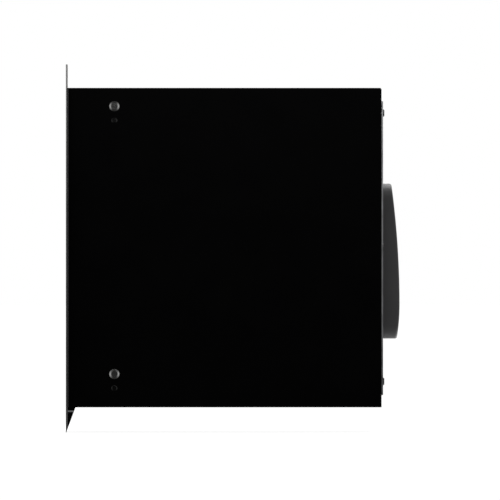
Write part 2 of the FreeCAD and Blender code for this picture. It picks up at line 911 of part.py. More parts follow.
def ram_nuts():
    """Bronze flanged nuts under the crossbeam, one on each power screw."""
    middle = size["screw_deep"]
    bore = size["thread_dia"] / 2 + size["fit_gap"]
    high = size["beam_low"]
    flange = 5
    length = 26
    barrel_radius = 12
    collar_radius = 17
    nuts = []
    for side in (-1, 1):
        across = side * size["screw_across"]
        barrel = rod("Z", (across, middle, high - length), barrel_radius, length)
        collar = rod("Z", (across, middle, high - flange), collar_radius, flange)
        hole = rod("Z", (across, middle, high - length - 1), bore, length + 2)
        nuts.append(cut(fuse(barrel, collar), hole))
    return node(group(*nuts), "ram_nuts")


def ram_legs():
    """Two channels that hang the platen from the crossbeam."""
    middle = size["screw_deep"]
    low = size["platen_low"] + size["platen_thick"]
    high = size["beam_low"]
    depth = 56
    wide = 34
    wall = 3
    spread = 84
    foot = 4
    legs = []
    for side in (-1, 1):
        left = side * spread - wide / 2
        right = side * spread + wide / 2
        block = box((left, right), (middle - depth / 2, middle + depth / 2), (low, high))
        inner_left = left - 1 if side < 0 else left + wall
        inner_right = right - wall if side < 0 else right + 1
        hollow = box((inner_left, inner_right), (middle - depth / 2 + wall, middle + depth / 2 - wall),
                     (low + foot, high - foot))
        legs.append(cut(block, hollow))
    return node(group(*legs), "ram_legs")


def ram_platen():
    """Cast crushing plate with ribs on top and a chamfered lower edge."""
    body = new_body("RamPlaten")
    half = size["platen_width"] / 2
    near = size["bin_front"] + 7
    far = size["bin_rear"] - 5.5
    low = size["platen_low"]
    high = low + size["platen_thick"]
    floor = 6
    pad(body, "Z", low, high, rectangle(-half, half, near, far))
    soften(body, 8, lambda edge, mid: runs_along(edge, "Z"))
    wall = 6
    seat_half = 34
    middle = size["screw_deep"]
    cells = []
    columns = [(-half + wall, -half + wall + 50), (-66, -3), (3, 66), (half - wall - 50, half - wall)]
    for left, right in columns:
        cells.append(rectangle(left, right, near + wall, middle - seat_half))
        cells.append(rectangle(left, right, middle + seat_half, far - wall))
    pocket(body, "Z", low + floor, high, *cells)
    return node(body, "ram_platen")


# ---------------------------------------------------------------- power screws and chain
def power_screw(name, side):
    """Power screw with a plain lower journal, a thrust collar and an upper journal."""
    across = side * size["screw_across"]
    middle = size["screw_deep"]
    journal = size["journal_dia"] / 2
    thread = size["thread_dia"] / 2
    foot = 4
    thread_low = 44
    thread_high = size["side_frame_top"] - 6
    collar_low = 24
    collar_radius = 12
    lower = rod("Z", (across, middle, foot), journal, thread_low - foot)
    collar = rod("Z", (across, middle, collar_low), collar_radius, 5)
    threaded = rod("Z", (across, middle, thread_low), thread, thread_high - thread_low)
    upper = rod("Z", (across, middle, thread_high), UPPER_JOURNAL, 15)
    return node(fuse(lower, collar, threaded, upper), name)


UPPER_JOURNAL = 6


def screw_bearings():
    """Pilot bearings in the base, thrust blocks on the uprights and bushes in the crossmember."""
    middle = size["screw_deep"]
    floor = size["base_floor"]
    journal = size["journal_dia"] / 2 + size["fit_gap"]
    pieces = []
    for side in (-1, 1):
        across = side * size["screw_across"]
        pilot = rod("Z", (across, middle, floor), 13, 10)
        pilot_bore = rod("Z", (across, middle, floor - 1), journal, 14)
        pieces.append(cut(pilot, pilot_bore))
        left = min(side * size["web_outside"], side * (inside_half_width - 4))
        right = max(side * size["web_outside"], side * (inside_half_width - 4))
        block = box((left, right), (middle - 20, middle + 20), (30, 42))
        block_bore = rod("Z", (across, middle, 29), journal, 14)
        pieces.append(cut(block, block_bore))
        top = size["side_frame_top"]
        bush = rod("Z", (across, middle, top), 11, 6)
        bush_bore = rod("Z", (across, middle, top - 1), UPPER_JOURNAL + size["fit_gap"], 8)
        pieces.append(cut(bush, bush_bore))
    return node(group(*pieces), "screw_bearings")


def ring_of(body, feature, count):
    """Repeat a cut round the body's own Z axis."""
    doc.recompute()
    ring = body.newObject("PartDesign::PolarPattern", "Ring")
    ring.Originals = [feature]
    upright = [item for item in body.Origin.OriginFeatures if item.Role == "Z_Axis"][0]
    ring.Axis = (upright, [""])
    ring.Angle = 360
    bind(ring, "Occurrences", count)
    body.Tip = ring


def sprocket(name, spot, bore):
    """Chain wheel with a hub below; its round tooth gaps flare outwards so that rollers can lift clear."""
    body = new_body("Sprocket")
    pitch = size["sprocket_pitch_radius"]
    low = size["sprocket_low"]
    high = low + size["sprocket_thick"]
    tooth = 2
    gap_radius = 2.7
    pad(body, "Z", low, high, ((0, 0), pitch + tooth))
    gap = pocket(body, "Z", low, high, ((pitch, 0), gap_radius))
    ring_of(body, gap, size["sprocket_teeth"])
    beyond = pitch + tooth + 1
    mouth = 4.8
    flare = pocket(body, "Z", low, high, [(pitch, -gap_radius), (beyond, -mouth), (beyond, mouth), (pitch, gap_radius)])
    ring_of(body, flare, size["sprocket_teeth"])
    place(body, (spot[0], spot[1], 0))
    hub_thick = 2.2
    hub_radius = 11
    hub = rod("Z", (spot[0], spot[1], low - hub_thick), hub_radius, hub_thick)
    hole = rod("Z", (spot[0], spot[1], low - 2 * hub_thick), bore, 12)
    return node(cut(fuse(body, hub), hole), name)


def chain_loop(radius):
    """Round-cornered loop at a distance outside the line through the three chain wheels."""
    across = float(size["screw_across"])
    deep = float(size["screw_deep"])
    drive = float(size["output_deep"])
    corners = [Vector(-across, deep, 0), Vector(across, deep, 0), Vector(0, drive, 0)]
    wires = []
    count = len(corners)
    for index, corner in enumerate(corners):
        before = corners[index - 1]
        after = corners[(index + 1) % count]
        into = (corner - before).normalize()
        away = (after - corner).normalize()
        start = corner + Vector(into.y, -into.x, 0) * radius
        end = corner + Vector(away.y, -away.x, 0) * radius
        between = (start + end) * 0.5 - corner
        middle = corner + between.normalize() * radius
        wires.append(Part.Arc(start, middle, end).toShape())
        following = after + Vector(away.y, -away.x, 0) * radius
        wires.append(Part.makeLine(end, following))
    return Part.Face(Part.Wire(wires))


def drive_chain():
    """Roller chain round the three wheels: side plates above and below, open towards the wheels."""
    pitch = float(size["sprocket_pitch_radius"])
    reach = float(size["chain_half_width"])
    thick = float(size["sprocket_thick"])
    low = float(size["sprocket_low"])
    plate = 1.6
    side_play = 0.35
    bottom = low - side_play - plate
    height = thick + 2 * (side_play + plate)
    outer = chain_loop(pitch + reach).extrude(Vector(0, 0, height))
    inner = chain_loop(pitch - reach).extrude(Vector(0, 0, height))
    groove = chain_loop(pitch + reach - 1.3).extrude(Vector(0, 0, height - 2 * plate))
    groove.translate(Vector(0, 0, plate))
    shape = outer.cut(inner).cut(groove)
    shape.translate(Vector(0, 0, bottom))
    item = doc.addObject("Part::Feature", "DriveChain")
    item.Shape = shape.removeSplitter()
    item.Placement = Placement()
    return node(item, "drive_chain")


# ---------------------------------------------------------------- gearbox and motor
MOTOR_ANGLE = math.radians(20)
gear_distance = size["gear_module"] * (size["pinion_teeth"] + size["gear_teeth"]) / 2 + size["mesh_play"]
motor_across = gear_distance * math.cos(MOTOR_ANGLE)
motor_deep = size["output_deep"] + gear_distance * math.sin(MOTOR_ANGLE)


def involute_gear(spot, teeth, low, high, bore, turn):
    """Spur gear with tooth spaces whose flanks are arcs through three involute points."""
    body = new_body("Gear")
    module = size["gear_module"]
    pitch_radius = module * teeth / 2
    tip_radius = pitch_radius + module
    pad(body, "Z", low, high, ((0, 0), tip_radius))
    doc.recompute()
    pressure = math.radians(20)
    base_radius = float(pitch_radius) * math.cos(pressure)
    half_space = math.pi / (2 * float(teeth))
    roll = math.tan(pressure) - pressure

    def flank(radius, side):
        """Point of the tooth space's flank at a radius."""
        reach = max(radius, base_radius)
        lean = math.acos(base_radius / reach)
        angle = half_space + (math.tan(lean) - lean) - roll
        heading = turn + side * angle
        return Vector(radius * math.cos(heading), radius * math.sin(heading), 0)

    beyond = float(tip_radius) + 0.4
    root = float(pitch_radius) - 1.25 * float(module)
    start = max(base_radius, root + 0.05)
    radii = (start, (start + beyond) / 2, beyond)
    right = [flank(radius, -1) for radius in radii]
    left = [flank(radius, 1) for radius in radii]
    low_right = flank(root, -1)
    low_left = flank(root, 1)
    space = body.newObject("PartDesign::Pocket", "ToothSpace")
    sketch = draw(body, "Z", low, [])
    sketch.addGeometry(Part.LineSegment(low_right, right[0]), False)
    sketch.addGeometry(Part.Arc(*right), False)
    sketch.addGeometry(Part.LineSegment(right[2], left[2]), False)
    sketch.addGeometry(Part.Arc(left[2], left[1], left[0]), False)
    sketch.addGeometry(Part.LineSegment(left[0], low_left), False)
    sketch.addGeometry(Part.LineSegment(low_left, low_right), False)
    space.Profile = sketch
    space.Reversed = True
    bind(space, "Length", high - low)
    ring_of(body, space, teeth)
    place(body, (spot[0], spot[1], 0))
    hole = rod("Z", (spot[0], spot[1], low - 1), bore, high - low + 2)
    return cut(body, hole)


GEAR_LOW = 96
GEAR_HIGH = 106
OUTPUT_SHAFT_RADIUS = 8
MOTOR_SHAFT_RADIUS = 6


def reduction_gears():
    """Large gear on the output shaft and the motor's pinion, in mesh."""
    shaft = OUTPUT_SHAFT_RADIUS
    output = (0, size["output_deep"])
    large = involute_gear(output, size["gear_teeth"], GEAR_LOW, GEAR_HIGH, shaft, MOTOR_ANGLE)
    windows = []
    ring = 27
    window_radius = 8
    for index in range(5):
        angle = math.radians(72 * index)
        across = ring * math.cos(angle)
        deep = size["output_deep"] + ring * math.sin(angle)
        windows.append(rod("Z", (across, deep, GEAR_LOW - 1), window_radius, 12))
    node(cut(large, *windows), "reduction_gear")
    half_pitch = math.pi / float(size["pinion_teeth"])
    facing = MOTOR_ANGLE + math.pi + half_pitch
    pinion = involute_gear((motor_across, motor_deep), size["pinion_teeth"], GEAR_LOW - 1, GEAR_HIGH + 1,
                           MOTOR_SHAFT_RADIUS, facing)
    node(pinion, "motor_pinion")


def output_shaft():
    """Upright shaft that carries the large gear and the drive chain wheel."""
    low = 12
    high = size["gearbox_high"] - 2
    shaft = rod("Z", (0, size["output_deep"], low), OUTPUT_SHAFT_RADIUS, high - low)
    shoulder = rod("Z", (0, size["output_deep"], GEAR_HIGH), 12, 5)
    return node(fuse(shaft, shoulder), "output_shaft")


def gearbox_housing():
    """Two plates on four pillars that hold the output shaft's bearings and the motor."""
    low = size["gearbox_low"]
    high = size["gearbox_high"]
    plate = size["gearbox_plate"]
    left = -76
    right = 122
    near = 164
    far = 280
    parts = [
        box((left, right), (near, far), (low, low + plate)),
        box((left, right), (near, far), (high - plate, high)),
    ]
    inset = 9
    pillar = 6
    for across in (left + inset, right - inset):
        for deep in (near + inset, far - inset):
            parts.append(rod("Z", (across, deep, size["base_floor"]), pillar, high - size["base_floor"]))
    boss = 16
    parts.append(rod("Z", (0, size["output_deep"], low - 8), boss, 8 + plate))
    parts.append(rod("Z", (0, size["output_deep"], high - plate - 6), boss, 6 + plate))
    bore = OUTPUT_SHAFT_RADIUS + size["fit_gap"]
    holes = [
        rod("Z", (0, size["output_deep"], low - 10), bore, high - low + 12),
        rod("Z", (motor_across, motor_deep, low - 2), MOTOR_SHAFT_RADIUS + 3, high - low + 4),
    ]
    return node(cut(fuse(*parts), *holes), "gearbox_housing")


def motor():
    """Upright induction motor: vented case, rotor on its shaft, cooling fan on top."""
    radius = size["motor_radius"]
    low = size["gearbox_high"]
    high = low + size["motor_height"]
    wall = 2
    shaft_bore = MOTOR_SHAFT_RADIUS + size["fit_gap"]
    centre = (motor_across, motor_deep)
    outside = rod("Z", (*centre, low), radius, high - low)
    chamber = rod("Z", (*centre, low + 8), radius - wall, high - low - 16)
    shell = cut(outside, chamber)
    stack_low = low + 34
    stack_high = high - 40
    stack = rod("Z", (*centre, stack_low), radius - wall, stack_high - stack_low)
    stator_bore = 26
    rotor_radius = 25
    ring_radius = 22
    ring_high = 8
    stator = cut(stack, rod("Z", (*centre, stack_low - 1), stator_bore, stack_high - stack_low + 2))
    vents = []
    for index in range(12):
        turn = Rotation(Vector(0, 0, 1), 30 * index + 15)
        for level in (low + 14, high - 30):
            vents.append(turned_block((12, 8, 14), (*centre, level), turn, Vector(float(radius) - 6, -4, 0)))
    bore = rod("Z", (*centre, low - 1), shaft_bore, high - low + 2)
    node(cut(fuse(shell, stator), bore, *vents), "motor_case")
    shaft_low = size["gearbox_low"] + 6
    shaft = rod("Z", (*centre, shaft_low), MOTOR_SHAFT_RADIUS, high + 22 - shaft_low)
    rotor = rod("Z", (*centre, stack_low), rotor_radius, stack_high - stack_low)
    rings = [rod("Z", (*centre, stack_low - ring_high), ring_radius, ring_high),
             rod("Z", (*centre, stack_high), ring_radius, ring_high)]
    node(fuse(shaft, rotor, *rings), "motor_rotor")
    fan_low = high + 6
    disc = rod("Z", (*centre, fan_low), 40, 1.5)
    hub = rod("Z", (*centre, fan_low), 11, 12)
    blades = []
    for index in range(9):
        turn = Rotation(Vector(0, 0, 1), 40 * index)
        blades.append(turned_block((27, 1.6, 11), (*centre, fan_low + 1), turn, Vector(10.5, -0.8, 0)))
    fan_bore = rod("Z", (*centre, fan_low - 1), MOTOR_SHAFT_RADIUS, 15)
    node(cut(fuse(disc, hub, *blades), fan_bore), "motor_fan")
    can_across = -48
    can_deep = 250
    can_high = 76
    capacitor = rod("Z", (can_across, can_deep, low), 18, can_high)
    cap_top = rod("Z", (can_across, can_deep, low + can_high), 15, 3)
    tabs = []
    for tab_across in (can_across - 7, can_across + 7):
        tabs.append(box((tab_across - 3, tab_across + 3), (can_deep - 0.4, can_deep + 0.4),
                        (low + can_high + 2, low + can_high + 12)))
    node(fuse(capacitor, cap_top, *tabs), "run_capacitor")


# ---------------------------------------------------------------- console
def panel_planes():
    """Front and back of the console's face plate."""
    near = front_face + size["console_recess"]
    return near, near + size["console_thick"]


def button_spots():
    return {"start_button": 0, "stop_button": 44, "fan_button": 88}


KEY_ACROSS = 136


def console_panel():
    """Moulded face above the drawer with a folded-back rim and openings for its controls."""
    body = new_body("ConsolePanel")
    near, back = panel_planes()
    half = size["opening_width"] / 2 - 0.5
    low = size["front_split"] + size["front_gap"] / 2
    high = size["opening_top"] - 0.5
    depth = size["bin_front"]
    pad(body, "Y", near, depth, rectangle(-half, half, low, high))
    soften(body, 2, lambda edge, mid: runs_along(edge, "Y"))
    rim = 2.5
    pocket(body, "Y", back, depth, rectangle(-half + rim, half - rim, low + rim, high - rim))
    gap = size["button_gap"]
    level = size["control_height"]
    high_half = size["button_height"] / 2 + gap
    wide_half = size["button_width"] / 2 + gap
    openings = []
    for across in button_spots().values():
        openings.append(rectangle(across - wide_half, across + wide_half, level - high_half, level + high_half))
    middle = size["filter_middle"]
    wide = size["filter_width"] / 2 + 0.6
    tall = size["filter_height"] / 2 + 0.6
    openings.append(rectangle(middle - wide, middle + wide, level - tall, level + tall))
    openings.append(((KEY_ACROSS, level), size["key_radius"] + 0.4))
    pocket(body, "Y", near, back, *openings)
    return node(body, "console_panel")


def console_buttons():
    """Push buttons with a retaining flange behind the face plate."""
    level = size["control_height"]
    back = panel_planes()[1]
    play = 0.5
    flange = 1.5
    lap = 2
    for name, across in button_spots().items():
        body = new_body(name.title().replace("_", ""))
        wide = size["button_width"] / 2
        tall = size["button_height"] / 2
        pad(body, "Y", front_face, back + play + flange,
            rectangle(across - wide, across + wide, level - tall, level + tall))
        pad(body, "Y", back + play, back + play + flange,
            rectangle(across - wide - lap, across + wide + lap, level - tall - lap, level + tall + lap))
        soften(body, 1, lambda edge, mid: mid.y < float(front_face) + 0.01)
        node(body, name)


def key_switch():
    """Key barrel that turns in its fixed housing."""
    level = size["control_height"]
    back = panel_planes()[1]
    radius = size["key_radius"]
    far = back + 20
    housing = fuse(rod("Y", (KEY_ACROSS, back, level), 16, 3), rod("Y", (KEY_ACROSS, back, level), 13, far - back))
    bore = rod("Y", (KEY_ACROSS, back - 1, level), radius + size["fit_gap"], far - back - 1)
    node(cut(housing, bore), "key_switch_housing")
    barrel = rod("Y", (KEY_ACROSS, front_face, level), radius, far - 3 - front_face)
    slot = box((KEY_ACROSS - 1.1, KEY_ACROSS + 1.1), (front_face - 1, front_face + 9), (level - 5, level + 5))
    node(cut(barrel, slot), "key_switch")


def control_board():
    """Circuit board behind the buttons with their three switches, a relay and a transformer."""
    level = size["control_height"]
    back = panel_planes()[1]
    board_near = back + 10
    board_far = board_near + 1.6
    switch_half = 3
    parts = [box((-26, 116), (board_near, board_far), (level - 34, level + 34))]
    for across in button_spots().values():
        parts.append(box((across - switch_half, across + switch_half), (board_near - 3, board_near),
                         (level - switch_half, level + switch_half)))
    relay = box((20, 48), (board_far, board_far + 15.4), (level - 28, level - 10))
    transformer = box((62, 92), (board_far, board_far + 20.4), (level - 30, level + 6))
    parts += [relay, transformer]
    post_radius = 2.5
    for across in (-22, 112):
        for height in (level - 30, level + 30):
            parts.append(rod("Y", (across, back, height), post_radius, board_near - back))
    return node(fuse(*parts), "control_board")


# ---------------------------------------------------------------- odour filter and fan
def filter_parts():
    """Sliding filter tray with a charcoal cartridge, in a fixed sleeve."""
    level = size["control_height"]
    middle = size["filter_middle"]
    wide = size["filter_width"] / 2
    tall = size["filter_height"] / 2
    back = panel_planes()[1]
    far = back + size["filter_depth"]
    wall = 2
    play = 0.6
    outer_wide = wide + play + wall
    outer_tall = tall + play + wall
    sleeve = new_body("FilterSleeve")
    pad(sleeve, "Y", back, far + wall,
        rectangle(middle - outer_wide, middle + outer_wide, level - outer_tall, level + outer_tall))
    pocket(sleeve, "Y", back, far,
           rectangle(middle - wide - play, middle + wide + play, level - tall - play, level + tall + play))
    grille = slots(8, 11, middle - 42, 5, level - 26, level + 26)
    pocket(sleeve, "Y", far, far + wall, *grille)
    node(sleeve, "filter_sleeve")
    tray = new_body("FilterTray")
    face_thick = 6
    pad(tray, "Y", front_face, front_face + face_thick,
        rectangle(middle - wide, middle + wide, level - tall, level + tall))
    soften(tray, 2, lambda edge, mid: runs_along(edge, "Y"))
    pad(tray, "Y", front_face + face_thick, far - 2,
        rectangle(middle - wide + 2, middle + wide - 2, level - tall + 2, level + tall - 2))
    pocket(tray, "Y", front_face + face_thick, far - 4,
           rectangle(middle - wide + 4, middle + wide - 4, level - tall + 4, level + tall - 2))
    pocket(tray, "Y", front_face, front_face + 3.5, rectangle(middle - 26, middle + 26, level + 8, level + 24))
    air = slots(7, 12, middle - 38, 5, level - 24, level + 22)
    pocket(tray, "Y", far - 5, far - 2, *air)
    node(tray, "filter_tray")
    inner_wide = wide - 5
    cartridge = new_body("CharcoalCartridge")
    pad(cartridge, "Y", front_face + face_thick + 1, far - 5,
        rectangle(middle - inner_wide, middle + inner_wide, level - tall + 4, level + tall - 8))
    soften(cartridge, 3, lambda edge, mid: runs_along(edge, "Y"))
    node(cartridge, "charcoal_cartridge")


def odour_fan():
    """Axial fan that draws air through the filter and out of the rear panel."""
    middle = size["fan_middle"]
    level = size["fan_height"]
    half = size["fan_frame"] / 2
    deep = size["fan_deep"]
    far = half_depth - steel - 6
    near = far - deep
    frame = new_body("FanFrame")
    pad(frame, "Y", near, far, rectangle(middle - half, middle + half, level - half, level + half))
    soften(frame, 6, lambda edge, mid: runs_along(edge, "Y"))
    throat = half - 3
    pocket(frame, "Y", near, far, ((middle, level), throat))
    screws = [((middle + sx * (half - 5), level + sz * (half - 5)), 2.2) for sx in (-1, 1) for sz in (-1, 1)]
    pocket(frame, "Y", near, far, *screws)
    hub_radius = 18
    pin = 3
    struts = [box((middle - throat - 1, middle + throat + 1), (near, near + 3), (level - 3, level + 3)),
              box((middle - 3, middle + 3), (near, near + 3), (level - throat - 1, level + throat + 1)),
              rod("Y", (middle, near, level), hub_radius, 3),
              rod("Y", (middle, near, level), pin, deep - 6)]
    feet = [box((middle + sx * 30 - 6, middle + sx * 30 + 6), (near + 3, far), (level + half, size["body_height"] - 1))
            for sx in (-1, 1)]
    node(fuse(frame, *struts, *feet), "odour_fan_frame")
    cup = rod("Y", (middle, near + 4, level), hub_radius, deep - 8)
    hollow = rod("Y", (middle, near + 3, level), pin + size["fit_gap"], deep - 8.5)
    blades = []
    pitch_turn = Rotation(Vector(1, 0, 0), 38)
    root = 16
    centre = (middle, near + deep / 2, level)
    for index in range(7):
        turn = Rotation(Vector(0, 1, 0), index * 360 / 7).multiply(pitch_turn)
        blades.append(turned_block((throat - 2 - root, 1.8, 18), centre, turn, Vector(root, -0.9, -9)))
    node(cut(fuse(cup, *blades), hollow), "odour_fan_impeller")


# ---------------------------------------------------------------- switches, bush and fasteners
def limit_switches():
    """Top and bottom ram switches and the drawer switch, each with its plunger."""
    near = size["screw_deep"] + size["beam_depth"] / 2 + 5
    wall = -web_inside
    switches = []
    for level in (532, 344):
        case = box((wall, wall + 12), (near, near + 20), (level, level + 12))
        plunger = rod("X", (wall + 12, near + 10, level + 6), 2, 3)
        switches.append(fuse(case, plunger))
    drawer_near = size["side_frame_front"] + 4
    case = box((wall, wall + 12), (drawer_near, drawer_near + 20), (400, 412))
    plunger = rod("X", (wall + 12, drawer_near + 6, 406), 2, 3)
    switches.append(fuse(case, plunger))
    return node(group(*switches), "limit_switches")


def cord_bush():
    """Grommet in the rear panel where the supply cord enters."""
    outside = half_depth + size["rear_panel_proud"]
    across = CORD_INSET - size["rear_panel_width"] / 2
    inner = outside - 3.4
    neck = rod("Y", (across, inner, CORD_LEVEL), CORD_HOLE, 3.4)
    outer_flange = rod("Y", (across, outside, CORD_LEVEL), 11, 2.4)
    inner_flange = rod("Y", (across, inner, CORD_LEVEL), 10, 2)
    bore = rod("Y", (across, inner - 2, CORD_LEVEL), 4.2, 10)
    return node(cut(fuse(neck, outer_flange, inner_flange), bore), "cord_bush")


def pan_screw(axis, spot, outward, head, shank):
    """Screw with a tapered head, a dished top and a cross recess; it lies along an axis, head outward.

    The head is its radius, height, top radius and recess half length; the shank its radius and length.
    """
    head_radius, head_high, top_radius, recess = head
    shank_radius, shank_long = shank
    along = "XYZ".index(axis)

    def start_of(start, length):
        """Low end of a stretch that begins at a distance outward from the seat."""
        point = list(spot)
        point[along] = point[along] + (start if outward > 0 else -start - length)
        return tuple(point)

    rim_high = head_high * 0.3
    crown_high = head_high - rim_high
    first, last = (head_radius, top_radius) if outward > 0 else (top_radius, head_radius)
    stem = rod(axis, start_of(-shank_long, shank_long), shank_radius, shank_long)
    rim = rod(axis, start_of(0, rim_high), head_radius, rim_high)
    crown = cone(axis, start_of(rim_high, crown_high), first, last, crown_high)
    dish_deep = head_high * 0.15
    dish = rod(axis, start_of(head_high - dish_deep, 2 * dish_deep), top_radius * 0.8, 2 * dish_deep)
    tools = [dish]
    across = [index for index in range(3) if index != along]
    thin = recess * 0.28
    depth = head_high * 0.65
    floor = start_of(head_high - depth, 2 * depth)[along]
    for wide in across:
        spans = [None, None, None]
        spans[along] = (floor, floor + 2 * depth)
        for index in across:
            half = recess if index == wide else thin
            spans[index] = (spot[index] - half, spot[index] + half)
        tools.append(box(*spans))
    return cut(fuse(stem, rim, crown), *tools)


LARGE_SCREW = ((9, 2.4, 6, 3.4), (2.6, 8))
SMALL_SCREW = ((5.4, 1.2, 3.9, 2), (1.6, 5))
REAR_SCREW = ((7, 2.3, 5.8, 2.6), (REAR_SCREW_SHANK, 6))


def fasteners():
    """Screws of the case, each kind in one group."""
    back = front + size["side_screw_setback"]
    drop = size["small_screw_drop"]
    large = []
    small = []
    for side in (-1, 1):
        for level in (size["side_screw_low"], size["side_screw_high"]):
            large.append(pan_screw("X", (side * half_width, back, level), side, *LARGE_SCREW))
            small.append(pan_screw("X", (side * half_width, back, level - drop), side, *SMALL_SCREW))
    node(group(*large), "side_mounting_screws")
    node(group(*small), "side_panel_screws")
    outside = half_depth + size["rear_panel_proud"]
    column = rear_screw_column()
    rear = []
    for side in (-1, 1):
        for level in rear_screw_levels():
            rear.append(pan_screw("Y", (side * column, outside, level), 1, *REAR_SCREW))
    node(group(*rear), "rear_panel_screws")


def main():
    base_pan()
    side_panel("left_side_panel", -1)
    side_panel("right_side_panel", 1)
    top_panel()
    front_trim_frame()
    frame_seal()
    bottom_deflector()
    side_frame("left_side_frame", -1)
    side_frame("right_side_frame", 1)
    top_crossmember()
    rear_panel()
    motor_cover()
    rear_liner()
    compaction_deck()
    bin_shell()
    drawer_front_skin()
    drawer_front_liner()
    bag_retainer()
    drawer_slides()
    ram_crossbeam()
    ram_nuts()
    ram_legs()
    ram_platen()
    power_screw("left_power_screw", -1)
    power_screw("right_power_screw", 1)
    screw_bearings()
    across = size["screw_across"]
    journal = size["journal_dia"] / 2
    sprocket("left_sprocket", (-across, size["screw_deep"]), journal)
    sprocket("right_sprocket", (across, size["screw_deep"]), journal)
    sprocket("drive_sprocket", (0, size["output_deep"]), OUTPUT_SHAFT_RADIUS)
    drive_chain()
    reduction_gears()
    output_shaft()
    gearbox_housing()
    motor()
    console_panel()
    console_buttons()
    key_switch()
    control_board()
    filter_parts()
    odour_fan()
    limit_switches()
    cord_bush()
    fasteners()


def check_and_export():
    """Refuse a failed object or a bad shape, then write one file for each piece."""
    doc.recompute()
    for item in doc.Objects:
        if "Invalid" in item.State or "Error" in item.State:
            raise RuntimeError(f"{item.Name} ({item.Label}) failed: {item.State}")
    os.makedirs("parts", exist_ok=True)
    for item in nodes:
        shape = item.Shape
        if shape.isNull() or not shape.isValid():
            raise RuntimeError(f"{item.Label} has a bad shape")
        shape.exportStep(f"parts/{item.Label}.step")
        bounds = shape.BoundBox
        print(f"{item.Label:24s} solids {len(shape.Solids):3d}  volume {shape.Volume / 1000:9.2f} cm3  "
              f"x {bounds.XMin:7.1f} {bounds.XMax:7.1f}  y {bounds.YMin:7.1f} {bounds.YMax:7.1f}  "
              f"z {bounds.ZMin:7.1f} {bounds.ZMax:7.1f}")


main()
check_and_export()
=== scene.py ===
"""Looks of the built-in trash compactor: materials, threads, chain, board parts and pressed details.

Metres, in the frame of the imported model: +X right seen from the front, +Y to the rear, +Z up.
"""
import json
import math
import random

import bmesh
import bpy
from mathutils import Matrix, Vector


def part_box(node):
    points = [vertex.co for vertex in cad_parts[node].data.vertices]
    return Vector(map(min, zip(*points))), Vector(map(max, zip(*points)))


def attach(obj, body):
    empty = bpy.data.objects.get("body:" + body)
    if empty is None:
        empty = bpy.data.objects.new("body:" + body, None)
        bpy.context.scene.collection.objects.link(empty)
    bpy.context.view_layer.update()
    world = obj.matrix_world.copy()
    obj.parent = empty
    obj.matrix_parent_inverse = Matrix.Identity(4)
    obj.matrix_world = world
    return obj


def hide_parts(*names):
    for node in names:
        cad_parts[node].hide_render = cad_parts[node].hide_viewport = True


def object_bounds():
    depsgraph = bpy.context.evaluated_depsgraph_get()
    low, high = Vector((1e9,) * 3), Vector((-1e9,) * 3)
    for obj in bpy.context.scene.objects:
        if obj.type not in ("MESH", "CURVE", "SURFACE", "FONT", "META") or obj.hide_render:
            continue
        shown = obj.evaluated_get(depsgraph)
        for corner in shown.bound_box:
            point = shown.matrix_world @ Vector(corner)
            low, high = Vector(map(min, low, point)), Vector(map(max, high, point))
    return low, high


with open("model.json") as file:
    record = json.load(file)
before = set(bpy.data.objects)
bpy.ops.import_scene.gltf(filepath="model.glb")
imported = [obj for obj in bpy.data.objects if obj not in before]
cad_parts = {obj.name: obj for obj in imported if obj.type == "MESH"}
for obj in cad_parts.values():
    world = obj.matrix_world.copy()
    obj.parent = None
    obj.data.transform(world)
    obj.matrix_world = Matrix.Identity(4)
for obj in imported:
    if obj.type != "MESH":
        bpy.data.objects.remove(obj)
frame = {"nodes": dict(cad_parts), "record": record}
cad_low, cad_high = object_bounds()
nodes = frame["nodes"]
MM = 0.001

# a Mix node holds its sockets for numbers, vectors and colours side by side; these are the colour ones
MIX_SHARE = 0
MIX_FIRST = 6
MIX_SECOND = 7
MIX_RESULT = 2


